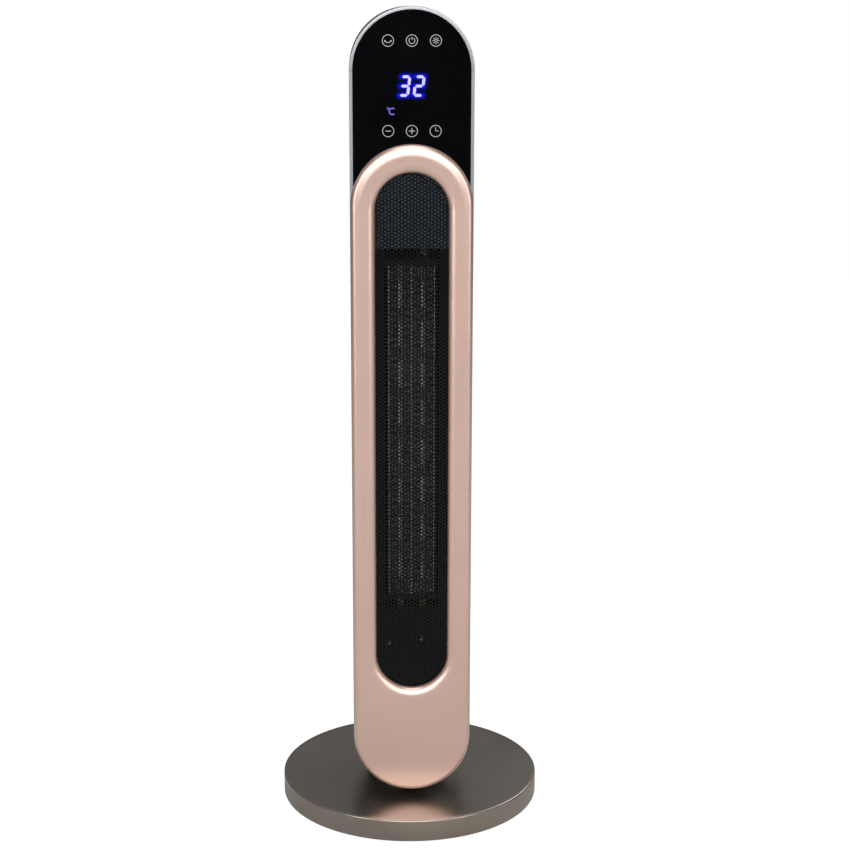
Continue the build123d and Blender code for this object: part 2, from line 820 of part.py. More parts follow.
hole_places = [
    (column * column_step, (outlet_low + outlet_high) / 2 + (row + 0.5 * (column % 2)) * hole_pitch)
    for column in range(-hole_columns, hole_columns + 1)
    for row in range(-hole_rows, hole_rows + 1)
]
with BuildPart() as outlet_grille:
    with BuildSketch(upright(rim_y + grille_thickness)):
        stadium(grille_half, outlet_low - grille_rim, outlet_high + grille_rim)
        with Locations(*[place for place in hole_places if hole_fits(*place)]):
            RegularPolygon(hole_radius, 6, mode=Mode.SUBTRACT)
    extrude(amount=grille_thickness)
write(outlet_grille, "outlet_grille")

# Outlet baffle: plate behind the grille, closed above and below the heater window, with the short
# duct that holds the heating element
duct_side = window_half + duct_wall
baffle_low = outlet_low - baffle_overlap
baffle_high = outlet_high + baffle_overlap
element_front_y = baffle_back_y + element_setback
element_low = window_low + element_bottom_margin
element_high = window_high - element_top_margin
element_height = element_high - element_low
element_back_y = element_front_y + element_depth
stack_width = 2 * electrode_sheet + stone_thickness
inner_fin_x = centre_sheet / 2 + fin_width / 2
stone_x = centre_sheet / 2 + fin_width + stack_width / 2
outer_fin_x = stone_x + stack_width / 2 + fin_width / 2
side_sheet_x = outer_fin_x + fin_width / 2 + side_sheet / 2
element_half = side_sheet_x + side_sheet / 2
terminal_slot = 2 * stone_x + terminal_width + 2 * terminal_slot_margin
element_middle_y = element_front_y + element_depth / 2
baffle_screw_places = [(x, outlet_low + lift) for x, lift in baffle_screws]
board_posts = [(x, outlet_low + lift) for x in (-board_post_x, board_post_x) for lift in board_post_lifts]
with BuildPart() as outlet_baffle:
    with BuildSketch(upright(baffle_back_y)):
        stadium(baffle_half_width, baffle_low, baffle_high)
    extrude(amount=baffle_plate)
    with BuildSketch(upright(duct_y)):
        with Locations((0, (window_low + window_high) / 2)):
            Rectangle(2 * duct_side, window_high - window_low + 2 * duct_wall)
    extrude(amount=outlet_duct_depth)
    with BuildSketch(upright(duct_y)):
        with Locations((0, (window_low + window_high) / 2)):
            Rectangle(window_width, window_high - window_low)
    extrude(amount=outlet_duct_depth + baffle_plate, mode=Mode.SUBTRACT)
    with BuildSketch(upright(baffle_back_y + standoff_height - baffle_plate)):
        with Locations(*baffle_screw_places):
            Circle(baffle_boss_radius)
        with Locations(*board_posts):
            Circle(standoff_radius)
    extrude(amount=standoff_height - baffle_plate)
    with BuildSketch(upright(baffle_back_y + standoff_height - baffle_plate)):
        with Locations(*baffle_screw_places):
            Circle(screw_radius + running_gap)
    extrude(amount=standoff_height, mode=Mode.SUBTRACT)
    with BuildSketch(Plane.XY.offset(window_low - duct_wall)):
        with Locations((0, element_middle_y)):
            Rectangle(terminal_slot, terminal_slot_depth)
    extrude(amount=duct_wall, mode=Mode.SUBTRACT)
write(outlet_baffle, "outlet_baffle")

with BuildPart() as baffle_screw_pair:
    with BuildSketch(upright(frame_back_y)):
        with Locations(*baffle_screw_places):
            Circle(screw_head_radius)
    extrude(amount=screw_head_height)
    chamfer(baffle_screw_pair.edges().group_by(Axis.Y)[0], screw_head_bevel)
    with BuildSketch(upright(frame_back_y + baffle_screw_reach)):
        with Locations(*baffle_screw_places):
            Circle(screw_radius)
    extrude(amount=baffle_screw_reach)
write(baffle_screw_pair, "baffle_screws")

# Ceramic heating element, from the centre plate outwards: fins, electrode, ceramic stones,
# electrode, fins, side plate
fin_folds = int(element_height / fin_pitch)
fin_step = element_height / fin_folds
fin_shift = fin_sheet * sqrt(1 + (2 * fin_width / fin_step) ** 2)


def fin_ribbon(centre_x):
    """Corners of one corrugated strip, folded between two plates."""
    left = centre_x - fin_width / 2
    right = centre_x + fin_width / 2 - fin_shift
    folds = range(2 * fin_folds + 1)
    zigzag = [(left if fold % 2 else right, element_low + fold * fin_step / 2) for fold in folds]
    return zigzag + [(x + fin_shift, z) for x, z in reversed(zigzag)]


with BuildPart() as heater_fins:
    with BuildSketch(upright(element_back_y)):
        for centre in (-outer_fin_x, -inner_fin_x, inner_fin_x, outer_fin_x):
            Polygon(*fin_ribbon(centre), align=None)
    extrude(amount=element_depth)
write(heater_fins, "heater_fins")

stone_rows = int((element_height - stone_length) / stone_pitch) + 1
with BuildPart() as ceramic_stones:
    with BuildSketch(upright(element_back_y - stone_inset)):
        with Locations((0, (element_low + element_high) / 2)):
            with GridLocations(2 * stone_x, stone_pitch, 2, stone_rows):
                Rectangle(stone_thickness, stone_length)
    extrude(amount=element_depth - 2 * stone_inset)
write(ceramic_stones, "ceramic_stones")

electrode_step = (stone_thickness + electrode_sheet) / 2
with BuildPart() as electrode_strips:
    with BuildSketch(upright(element_back_y)):
        for stack in (-stone_x, stone_x):
            with Locations(
                (stack - electrode_step, (element_low + element_high) / 2),
                (stack + electrode_step, (element_low + element_high) / 2),
            ):
                Rectangle(electrode_sheet, element_height)
    extrude(amount=element_depth)
write(electrode_strips, "electrode_strips")

with BuildPart() as element_plates:
    with BuildSketch(upright(element_back_y)):
        with Locations((0, (element_low + element_high) / 2)):
            Rectangle(centre_sheet, element_height)
            with GridLocations(2 * side_sheet_x, 1, 2, 1):
                Rectangle(side_sheet, element_height)
    extrude(amount=element_depth)
write(element_plates, "element_plates")

# End caps of the element, seated between the walls of the duct
with BuildPart() as element_caps:
    with BuildSketch(upright(element_back_y + end_cap_lap)):
        with Locations((0, element_low - end_cap_height / 2), (0, element_high + end_cap_height / 2)):
            Rectangle(window_width - 2 * seat_gap, end_cap_height)
    extrude(amount=element_depth + 2 * end_cap_lap)
    with BuildSketch(Plane.XY.offset(element_low - end_cap_height)):
        with Locations((-stone_x, element_middle_y), (stone_x, element_middle_y)):
            Rectangle(terminal_width, terminal_sheet)
    extrude(amount=end_cap_height, mode=Mode.SUBTRACT)
write(element_caps, "element_end_caps")

with BuildPart() as element_terminals:
    with BuildSketch(Plane.XY.offset(element_low - terminal_length)):
        with Locations((-stone_x, element_middle_y), (stone_x, element_middle_y)):
            Rectangle(terminal_width, terminal_sheet)
    extrude(amount=terminal_length)
write(element_terminals, "element_terminals")


def duct_outline():
    """Plan of the duct's end plates: straight at the outlet, round about the fan."""
    with Locations((0, (duct_y + fan_setback) / 2)):
        Rectangle(2 * duct_side, fan_setback - duct_y)
    with Locations((0, fan_setback)):
        Circle(fan_radius + scroll_gap_front + duct_wall)


def scroll_line(offset_out):
    """Points of the scroll from the outlet to its rear end, offset_out outside its inner face."""
    points = [(window_half + offset_out, duct_y)]
    turns = 4
    for turn in range(turns + 1):
        share = turn / turns
        angle = radians(scroll_start_angle + share * (scroll_end_angle - scroll_start_angle))
        radius = fan_radius + scroll_gap_front + share * (scroll_gap_rear - scroll_gap_front) + offset_out
        points.append((radius * cos(angle), fan_setback + radius * sin(angle)))
    return points


# Fan scroll: the spiral wall that turns the air to the front
inner_scroll = scroll_line(0)
outer_scroll = scroll_line(duct_wall)
with BuildPart() as fan_scroll:
    with BuildSketch(Plane.XY.offset(window_low)):
        with BuildLine():
            for side in (inner_scroll, outer_scroll):
                Line(side[0], side[1])
                ThreePointArc(*side[1:4])
                ThreePointArc(*side[3:6])
            Line(inner_scroll[-1], outer_scroll[-1])
            Line(outer_scroll[0], inner_scroll[0])
        make_face()
    extrude(amount=window_high - window_low)
write(fan_scroll, "fan_scroll")

# Tongue: the straight wall on the other side, with a rounded nose close to the wheel
nose_reach = fan_radius + nose_gap + nose_radius
nose_x = nose_reach * cos(radians(nose_angle))
nose_y = fan_setback + nose_reach * sin(radians(nose_angle))
with BuildPart() as fan_tongue:
    with BuildSketch(Plane.XY.offset(window_low)):
        with BuildLine():
            Polyline(
                (-window_half, duct_y),
                (-window_half, nose_y - tongue_taper),
                (nose_x + nose_radius, nose_y - nose_radius),
                (nose_x - nose_radius, nose_y),
                (-duct_side, nose_y - tongue_taper),
                (-duct_side, duct_y),
                close=True,
            )
        make_face()
        with Locations((nose_x, nose_y)):
            Circle(nose_radius)
    extrude(amount=window_high - window_low)
write(fan_tongue, "fan_tongue")

# End plates of the fan duct: bearing seat above, shaft hole below
with BuildPart() as duct_upper_plate:
    with BuildSketch(Plane.XY.offset(window_high)):
        duct_outline()
        with Locations((0, fan_setback)):
            Circle(bearing_radius + running_gap, mode=Mode.SUBTRACT)
    extrude(amount=end_plate)
write(duct_upper_plate, "duct_upper_plate")

motor_top = window_low - end_plate - motor_drop
motor_low = motor_top - motor_stack_height
spacer_x = motor_stack_width / 2 - spacer_inset
with BuildPart() as duct_lower_plate:
    with BuildSketch(Plane.XY.offset(window_low - end_plate)):
        duct_outline()
        with Locations((0, fan_setback)):
            Circle(hub_radius + shaft_hole_gap, mode=Mode.SUBTRACT)
    extrude(amount=end_plate)
write(duct_lower_plate, "duct_lower_plate")

# Cross-flow wheel: curved blades between end discs and two middle discs
wheel_low = window_low + fan_end_gap
wheel_high = window_high - fan_end_gap
wheel_length = wheel_high - wheel_low
tip_radius = fan_radius - blade_inset
root_radius = tip_radius - blade_depth
tip_angle = radians(blade_lean / 3)
root_point = Vector(root_radius, 0)
tip_point = Vector(tip_radius * cos(tip_angle), tip_radius * sin(tip_angle))
blade_side = Vector(root_point.Y - tip_point.Y, tip_point.X - root_point.X).normalized()
half_sheet = blade_side * (blade_sheet / 2)
bow_point = (root_point + tip_point) / 2 + blade_side * blade_bow
with BuildSketch(Plane.XY.offset(wheel_low)) as blade_sketch:
    with BuildLine():
        ThreePointArc(root_point + half_sheet, bow_point + half_sheet, tip_point + half_sheet)
        Line(tip_point + half_sheet, tip_point - half_sheet)
        ThreePointArc(tip_point - half_sheet, bow_point - half_sheet, root_point - half_sheet)
        Line(root_point - half_sheet, root_point + half_sheet)
    make_face()
with BuildPart() as fan_wheel:
    with Locations((0, fan_setback)):
        with PolarLocations(0, blade_count):
            add(extrude(blade_sketch.sketch, amount=wheel_length, mode=Mode.PRIVATE))
    for level in (
        wheel_low,
        wheel_low + wheel_length / 3,
        wheel_low + 2 * wheel_length / 3,
        wheel_high - fan_disc,
    ):
        with BuildSketch(Plane.XY.offset(level)):
            with Locations((0, fan_setback)):
                Circle(fan_radius)
                if wheel_low < level < wheel_high - fan_disc:
                    Circle(root_radius - middle_disc_rim, mode=Mode.SUBTRACT)
        extrude(amount=fan_disc)
    for level in (wheel_low, wheel_high - hub_length):
        with BuildSketch(Plane.XY.offset(level)):
            with Locations((0, fan_setback)):
                Circle(hub_radius)
        extrude(amount=hub_length)
        with BuildSketch(Plane.XY.offset(level)):
            with Locations((0, fan_setback)):
                Circle(shaft_radius + press_gap)
        extrude(amount=hub_length, mode=Mode.SUBTRACT)
write(fan_wheel, "fan_wheel")

# Motor shaft with the rotor, and the wheel's upper stub shaft
shaft_low = motor_low - bracket_rise - shaft_tail
with BuildPart() as motor_shaft:
    with BuildSketch(Plane.XY.offset(shaft_low)):
        with Locations((0, fan_setback)):
            Circle(shaft_radius)
    extrude(amount=wheel_low + hub_length - shaft_low)
write(motor_shaft, "motor_shaft")

with BuildPart() as motor_rotor:
    with BuildSketch(Plane.XY.offset(motor_low + rotor_recess)):
        with Locations((0, fan_setback)):
            Circle(rotor_radius)
            Circle(shaft_radius + press_gap, mode=Mode.SUBTRACT)
    extrude(amount=motor_stack_height - 2 * rotor_recess)
write(motor_rotor, "motor_rotor")

with BuildPart() as stub_shaft:
    with BuildSketch(Plane.XY.offset(wheel_high - hub_length)):
        with Locations((0, fan_setback)):
            Circle(shaft_radius)
    extrude(amount=hub_length + fan_end_gap + end_plate + bearing_flange + stub_tail)
    chamfer(stub_shaft.edges().group_by(Axis.Z)[-1], stub_bevel)
write(stub_shaft, "stub_shaft")

# Upper bearing: bronze bush in a rubber grommet, flanged on the upper plate
with BuildPart() as upper_bearing:
    with BuildSketch(Plane.XY.offset(window_high)):
        with Locations((0, fan_setback)):
            Circle(bearing_radius)
    extrude(amount=end_plate)
    with BuildSketch(Plane.XY.offset(window_high + end_plate)):
        with Locations((0, fan_setback)):
            Circle(bearing_radius + bearing_flange_lap)
    extrude(amount=bearing_flange)
    with BuildSketch(Plane.XY.offset(window_high)):
        with Locations((0, fan_setback)):
            Circle(shaft_radius + running_gap)
    extrude(amount=end_plate + bearing_flange, mode=Mode.SUBTRACT)
write(upper_bearing, "upper_bearing")

# Fan motor: laminated stack with the bore at its back and the coil on its front leg
stack_back_y = fan_setback + rotor_radius + stack_web
stack_front_y = fan_setback - rotor_radius - stack_web - coil_build - coil_leg
coil_leg_y = stack_front_y + coil_leg / 2
window_gap = coil_build + seat_gap
with BuildPart() as motor_stack:
    with BuildSketch(Plane.XY.offset(motor_low)):
        with Locations((0, (stack_front_y + stack_back_y) / 2)):
            RectangleRounded(motor_stack_width, stack_back_y - stack_front_y, stack_corner)
        with Locations((0, fan_setback)):
            Circle(rotor_radius + rotor_air_gap, mode=Mode.SUBTRACT)
        with Locations((0, stack_front_y + coil_leg + window_gap / 2)):
            Rectangle(coil_width + 2 * seat_gap, window_gap, mode=Mode.SUBTRACT)
    extrude(amount=motor_stack_height)
write(motor_stack, "motor_stack")

with BuildPart() as motor_coil:
    with BuildSketch(Plane.YZ.offset(-coil_width / 2)):
        with Locations((coil_leg_y, motor_low + motor_stack_height / 2)):
            RectangleRounded(coil_leg + 2 * coil_build, motor_stack_height + 2 * coil_build, stack_corner)
            Rectangle(coil_leg + 2 * seat_gap, motor_stack_height + 2 * seat_gap, mode=Mode.SUBTRACT)
    extrude(amount=coil_width)
write(motor_coil, "motor_coil")

# Bearing bridges above and below the stack, each pressed from sheet with a bearing boss
with BuildPart() as motor_bridges:
    for foot, rise in ((motor_top, 1), (motor_low, -1)):
        outer = foot + rise * (bracket_rise + bracket_sheet)
        inner = foot + rise * bracket_rise
        with BuildSketch(Plane.XY.offset(min(outer, inner))):
            with Locations((0, fan_setback)):
                Rectangle(motor_stack_width, bracket_width)
        extrude(amount=bracket_sheet)
        with BuildSketch(Plane.XY.offset(min(foot, inner))):
            for side in (-1, 1):
                with Locations((side * (motor_stack_width - bracket_foot) / 2, fan_setback)):
                    Rectangle(bracket_foot, bracket_width)
        extrude(amount=bracket_rise)
    with BuildSketch(Plane.XY.offset(motor_low - bracket_rise - bracket_sheet)):
        with Locations((0, fan_setback)):
            Circle(shaft_radius + running_gap)
    extrude(amount=motor_stack_height + 2 * bracket_rise + 2 * bracket_sheet, mode=Mode.SUBTRACT)
write(motor_bridges, "motor_bridges")

bridge_top = motor_top + bracket_rise + bracket_sheet
with BuildPart() as motor_spacers:
    with BuildSketch(Plane.XY.offset(bridge_top)):
        with Locations((-spacer_x, fan_setback), (spacer_x, fan_setback)):
            Circle(spacer_radius)
    extrude(amount=window_low - end_plate - bridge_top)
write(motor_spacers, "motor_spacers")

# Thermal protectors on the duct plates: a bimetal disc above, a fuse in its sleeve below
with BuildPart() as thermal_cutout:
    with BuildSketch(Plane.XY.offset(window_high - cutout_height)):
        with Locations((cutout_x, duct_y + cutout_setback)):
            Circle(cutout_radius)
    extrude(amount=cutout_height)
write(thermal_cutout, "thermal_cutout")

with BuildPart() as thermal_fuse:
    with BuildSketch(Plane.YZ.offset(-fuse_length / 2)):
        with Locations((duct_y + fuse_setback, window_low + fuse_radius + running_gap)):
            Circle(fuse_radius)
    extrude(amount=fuse_length)
write(thermal_fuse, "thermal_fuse")

# Display board with the two-digit module and the foam touch pads
board_front_y = frame_back_y + standoff_height
with BuildPart() as display_board:
    with BuildSketch(upright(board_front_y + board_thickness)):
        with Locations((0, (display_low + upper_arch) / 2)):
            Rectangle(2 * display_board_half_width, upper_arch - display_low)
        with Locations((0, upper_arch)):
            Circle(display_board_half_width)
    extrude(amount=board_thickness)
write(display_board, "display_board")

with BuildPart() as digit_module:
    with BuildSketch(upright(board_front_y)):
        with Locations((0, digits_z)):
            RectangleRounded(digits_width, digits_height, part_corner)
    extrude(amount=board_front_y - glass_back_y)
write(digit_module, "digit_module")

with BuildPart() as touch_pads:
    with BuildSketch(upright(board_front_y)):
        with Locations(*touch_places):
            Rectangle(touch_pad_side, touch_pad_side)
    extrude(amount=board_front_y - glass_back_y)
write(touch_pads, "touch_pads")

# Control board behind the closed lower part of the baffle, with relays, capacitor and tilt switch
control_front_y = baffle_back_y + standoff_height - baffle_plate
control_back_y = control_front_y + board_thickness
control_low = outlet_low - control_board_drop
control_high = window_low - duct_wall - terminal_overlap
with BuildPart() as control_board:
    with BuildSketch(upright(control_back_y)):
        with Locations((0, (control_low + control_high) / 2)):
            Rectangle(control_board_width, control_high - control_low)
    extrude(amount=board_thickness)
write(control_board, "control_board")

with BuildPart() as relays:
    with BuildSketch(upright(control_back_y + relay_depth)):
        with Locations((relay_x, control_low + parts_lift)):
            with GridLocations(1, relay_height + relay_gap, 1, 2):
                Rectangle(relay_width, relay_height)
    extrude(amount=relay_depth)
write(relays, "relays")

with BuildPart() as power_capacitor:
    with BuildSketch(upright(control_back_y + capacitor_depth)):
        with Locations((capacitor_x, control_low + parts_lift)):
            RectangleRounded(capacitor_width, capacitor_height, part_corner)
    extrude(amount=capacitor_depth)
write(power_capacitor, "power_capacitor")

with BuildPart() as tilt_switch:
    with BuildSketch(upright(control_back_y + tilt_switch_depth)):
        with Locations((0, control_low + tilt_switch_lift)):
            RectangleRounded(tilt_switch_width, tilt_switch_height, part_corner)
    extrude(amount=tilt_switch_depth)
write(tilt_switch, "tilt_switch")

# Intake grille: clipped flush into the window of the rear shell
intake_plate_half = intake_half_width - seat_gap
slat_half = intake_half_width - intake_ledge - slat_border
slat_rows = int((intake_high - intake_low - 1.4 * intake_half_width) / slat_pitch)
with BuildPart() as intake_grille:
    with BuildSketch(upright(rear_y)):
        stadium(intake_plate_half, intake_low + seat_gap, intake_high - seat_gap)
        with Locations((0, (intake_low + intake_high) / 2)):
            with GridLocations(1, slat_pitch, 1, slat_rows):
                Rectangle(2 * slat_half, slat_gap, mode=Mode.SUBTRACT)
    extrude(amount=intake_sheet)
write(intake_grille, "intake_grille")

# Dust filter: frame with bars, dropped in behind the intake
filter_half = intake_half_width + filter_lap
filter_low = intake_low - filter_end_lap
filter_high = intake_high + filter_end_lap
with BuildPart() as dust_filter:
    with BuildSketch(upright(rear_y - shell_wall - seat_gap)):
        stadium(filter_half, filter_low, filter_high)
        stadium(
            filter_half - filter_rim,
            filter_low + filter_rim,
            filter_high - filter_rim,
            mode=Mode.SUBTRACT,
        )
    extrude(amount=filter_thickness)
    with BuildSketch(upright(rear_y - shell_wall - seat_gap)):
        with Locations((0, (filter_low + filter_high) / 2)):
            Rectangle(filter_bar, filter_high - filter_low - filter_rim)
            with GridLocations(1, (filter_high - filter_low) / (filter_rows + 1), 1, filter_rows):
                Rectangle(2 * filter_half - filter_rim, filter_bar)
    extrude(amount=filter_thickness)
write(dust_filter, "dust_filter")

# Main switch: snap-in housing with a rocker on a cross axis
switch_front_y = rear_y - switch_body_depth
rocker_y = rear_y - rocker_setback
rocker_length = switch_height - 2 * switch_bezel_border
with BuildPart() as switch_housing:
    with BuildSketch(upright(rear_y + switch_bezel)):
        with Locations((0, switch_z)):
            RectangleRounded(
                switch_width + 2 * switch_bezel_lap,
                switch_height + 2 * switch_bezel_lap,
                part_corner,
            )
    extrude(amount=switch_bezel)
    with BuildSketch(upright(rear_y)):
        with Locations((0, switch_z)):
            Rectangle(switch_width, switch_height)
    extrude(amount=switch_body_depth)
    with BuildSketch(upright(rear_y + switch_bezel)):
        with Locations((0, switch_z)):
            Rectangle(switch_width - 2 * switch_bezel_border, rocker_length)
    extrude(amount=switch_bezel + switch_well, mode=Mode.SUBTRACT)
write(switch_housing, "switch_housing")

rocker_half = rocker_length / 2 - rocker_clear - rocker_end_gap
rocker_width = switch_width - 2 * switch_bezel_border - 2 * rocker_clear
rocker_plane = Plane(
    origin=(-rocker_width / 2, rocker_y, switch_z),
    x_dir=(0, cos(radians(rocker_tilt)), -sin(radians(rocker_tilt))),
    z_dir=(1, 0, 0),
)
with BuildPart() as switch_rocker:
    with BuildSketch(rocker_plane):
        with BuildLine():
            Polyline(
                (-rocker_root, -rocker_root),
                (rocker_skirt, -rocker_half),
                (rocker_tip, -rocker_half),
                (rocker_dip, 0),
                (rocker_tip, rocker_half),
                (rocker_skirt, rocker_half),
                (-rocker_root, rocker_root),
                close=True,
            )
        make_face()
    extrude(amount=rocker_width)
write(switch_rocker, "switch_rocker")

# Case screws at the bottom of the wells
case_screw_y = well_front_y + well_floor
with BuildPart() as case_screws:
    with BuildSketch(upright(case_screw_y + screw_head_height)):
        with Locations(*well_places):
            Circle(screw_head_radius)
    extrude(amount=screw_head_height)
    with BuildSketch(upright(case_screw_y)):
        with Locations(*well_places):
            Circle(screw_radius)
    extrude(amount=well_floor + case_screw_bore - screw_tip_gap)
write(case_screws, "case_screws")
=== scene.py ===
from math import cos, hypot, pi, radians, sin, sqrt

import bmesh
import bpy
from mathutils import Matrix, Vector


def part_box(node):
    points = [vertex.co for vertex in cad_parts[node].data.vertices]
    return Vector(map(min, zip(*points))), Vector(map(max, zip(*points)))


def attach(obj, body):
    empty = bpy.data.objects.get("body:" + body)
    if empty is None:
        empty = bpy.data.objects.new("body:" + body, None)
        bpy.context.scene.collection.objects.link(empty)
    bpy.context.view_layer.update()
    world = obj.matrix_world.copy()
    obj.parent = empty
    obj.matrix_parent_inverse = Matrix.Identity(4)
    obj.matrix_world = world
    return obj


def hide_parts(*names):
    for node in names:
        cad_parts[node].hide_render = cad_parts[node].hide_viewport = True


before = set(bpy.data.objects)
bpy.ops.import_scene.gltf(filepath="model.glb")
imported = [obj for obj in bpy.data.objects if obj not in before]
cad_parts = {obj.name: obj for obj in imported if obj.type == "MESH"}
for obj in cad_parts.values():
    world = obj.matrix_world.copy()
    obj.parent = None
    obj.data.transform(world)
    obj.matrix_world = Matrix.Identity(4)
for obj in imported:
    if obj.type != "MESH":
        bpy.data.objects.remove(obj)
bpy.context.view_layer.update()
MM = 0.001


# Base cover: a steel disc, pressed and turned at its edge, then sprayed in a satin bronze-grey
# metallic paint. The spray gives a very fine orange peel and flake, and the bevel stays crisp.
# The post and the screws of the bottom plate hold it.
def linear(code):
    """An sRGB hex colour as the linear values that shaders take."""
    channels = [int(code[start : start + 2], 16) / 255 for start in (1, 3, 5)]
    return tuple(c / 12.92 if c <= 0.04045 else ((c + 0.055) / 1.055) ** 2.4 for c in channels) + (1.0,)


def add_node(owner, kind, sockets=None, links=None, **settings):
    """Adds a node to a material or world, with its settings, socket values and incoming links."""
    made = owner.node_tree.nodes.new(kind)
    for name, value in settings.items():
        setattr(made, name, value)
    for name, value in (sockets or {}).items():
        made.inputs[name].default_value = value
    for name, (source, output) in (links or {}).items():
        owner.node_tree.links.new(source.outputs[output], made.inputs[name])
    return made


def new_material(name):
    """An empty node material."""
    material = bpy.data.materials.new(name)
    material.use_nodes = True
    material.node_tree.nodes.clear()
    return material


CLOUD_BAND = (0.3, 0.7)
GRAIN_DEPTH = 0.25


def finish_surface(
    name,
    shade,
    light,
    rough,
    grain_mm,
    relief,
    metallic=0.0,
    coat=0.0,
    coat_rough=0.1,
    coat_ior=1.5,
    spread=0.06,
    specular=0.5,
):
    """A sprayed or moulded surface: two close tones, uneven gloss and a fine grain of a real size."""
    material = new_material(name)
    place = add_node(material, "ShaderNodeTexCoord")
    cloud = add_node(
        material,
        "ShaderNodeTexNoise",
        {"Scale": 14.0, "Detail": 4.0, "Roughness": 0.6},
        {"Vector": (place, "Object")},
    )
    tone = add_node(material, "ShaderNodeValToRGB", links={"Fac": (cloud, "Fac")})
    for stop, position, colour in zip(tone.color_ramp.elements, CLOUD_BAND, (shade, light)):
        stop.position = position
        stop.color = linear(colour)
    gloss = add_node(
        material,
        "ShaderNodeMapRange",
        {
            "From Min": CLOUD_BAND[0],
            "From Max": CLOUD_BAND[1],
            "To Min": rough - spread / 2,
            "To Max": rough + spread / 2,
        },
        {"Value": (cloud, "Fac")},
    )
    grain = add_node(
        material,
        "ShaderNodeTexNoise",
        {"Scale": 1 / (grain_mm * MM), "Detail": 3.0, "Roughness": 0.55},
        {"Vector": (place, "Object")},
    )
    bump = add_node(
        material,
        "ShaderNodeBump",
        {"Strength": relief, "Distance": grain_mm * MM * GRAIN_DEPTH},
        {"Height": (grain, "Fac")},
    )
    shader = add_node(
        material,
        "ShaderNodeBsdfPrincipled",
        {
            "Metallic": metallic,
            "Coat Weight": coat,
            "Coat Roughness": coat_rough,
            "Coat IOR": coat_ior,
            "Specular IOR Level": specular,
        },
        {"Base Color": (tone, "Color"), "Roughness": (gloss, "Result"), "Normal": (bump, "Normal")},
    )
    add_node(material, "ShaderNodeOutputMaterial", links={"Surface": (shader, "BSDF")})
    return material


def dress(material, *names):
    """Gives CAD nodes their finish through their own material slots."""
    for name in names:
        for part_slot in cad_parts[name].material_slots:
            part_slot.material = material


def start_piece(name):
    """An empty mesh at the origin, in edit mode, with nothing else selected."""
    if bpy.context.object and bpy.context.object.mode == "EDIT":
        bpy.ops.object.mode_set(mode="OBJECT")
    bpy.ops.object.select_all(action="DESELECT")
    piece = bpy.data.objects.new(name, bpy.data.meshes.new(name))
    bpy.context.scene.collection.objects.link(piece)
    bpy.context.view_layer.objects.active = piece
    piece.select_set(True)
    bpy.ops.object.mode_set(mode="EDIT")
    bpy.ops.mesh.select_mode(type="VERT")
    return piece


def select_points(test):
    """Selects the points of the mesh in edit mode for which the test of place and number holds."""
    mesh = bmesh.from_edit_mesh(bpy.context.object.data)
    for face in mesh.faces:
        face.select = False
    for point in mesh.verts:
        point.select = bool(test(point.co, point.index))
    mesh.select_flush(True)
    bmesh.update_edit_mesh(bpy.context.object.data)


def end_piece(piece, material, body, smooth=30, replaces=()):
    """Closes the edit, smooths the shape and ties the piece to its body, slot and CAD nodes."""
    bpy.ops.mesh.select_all(action="SELECT")
    bpy.ops.mesh.normals_make_consistent(inside=False)
    bpy.ops.object.mode_set(mode="OBJECT")
    bpy.ops.object.shade_smooth_by_angle(angle=radians(smooth))
    piece.data.materials.append(material)
    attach(piece, body)
    if replaces:
        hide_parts(*replaces)


ROUND_POINTS = 192
POST_HOLE = 17.2 * MM
BEVEL = 1.3 * MM
COVER_WALL = 2.5 * MM
INNER_RING = 0.7
BEVEL_STEPS = ((1, 0), (0.55, 0.12), (0.12, 0.55), (0, 1))
low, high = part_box("base_cover")
base_radius = high.x
base_top = high.z
base_skirt = low.z
bronze_paint = finish_surface("bronze_metallic_paint", "#9c9187", "#a4998f", 0.3, 0.35, 0.1, metallic=1.0)
cover_profile = [
    (POST_HOLE, base_top - COVER_WALL),
    (POST_HOLE, base_top),
    (base_radius * INNER_RING, base_top),
    (base_radius - 4 * BEVEL, base_top),
    *((base_radius - inward * BEVEL, base_top - down * BEVEL) for inward, down in BEVEL_STEPS),
    (base_radius, base_top - 3 * BEVEL),
    (base_radius, base_skirt + BEVEL),
    (base_radius - 0.3 * BEVEL, base_skirt + 0.3 * BEVEL),
    (base_radius - BEVEL, base_skirt),
    (base_radius - COVER_WALL, base_skirt),
    (base_radius - COVER_WALL, base_top - COVER_WALL),
]


def turn_profile(profile):
    """Spins a closed profile of radius and height about the base's axis."""
    mesh = bmesh.from_edit_mesh(bpy.context.object.data)
    made = [mesh.verts.new((radius, 0, height)) for radius, height in profile]
    for start, end in zip(made, made[1:] + made[:1]):
        mesh.edges.new((start, end)).select = True
    for point in made:
        point.select = True
    bmesh.update_edit_mesh(bpy.context.object.data)
    bpy.ops.mesh.spin(steps=ROUND_POINTS, angle=2 * pi, center=(0, 0, 0), axis=(0, 0, 1))
    bpy.ops.mesh.select_all(action="SELECT")
    bpy.ops.mesh.remove_doubles(threshold=0.01 * MM)


cover = start_piece("base_cover_disc")
turn_profile(cover_profile)
end_piece(cover, bronze_paint, "base", smooth=40, replaces=["base_cover"])

# Bottom of the base: a moulded plate with a steel ballast ring above it, rubber pads bonded under
# it and zinc-plated pan-head screws.
moulded_black = finish_surface("moulded_black_plastic", "#0c0c0d", "#121213", 0.48, 0.5, 0.25)
rubber = finish_surface("moulded_rubber", "#101011", "#19191a", 0.75, 0.6, 0.35)
zinc = finish_surface("zinc_plated_steel", "#9fa0a2", "#b9babc", 0.32, 0.4, 0.1, metallic=1.0)
dress(moulded_black, "base_bottom_plate")
dress(rubber, "rubber_feet", "cord_gland")
dress(zinc, "ballast_ring", "base_screws", "pivot_post", "gear_lock_ring")

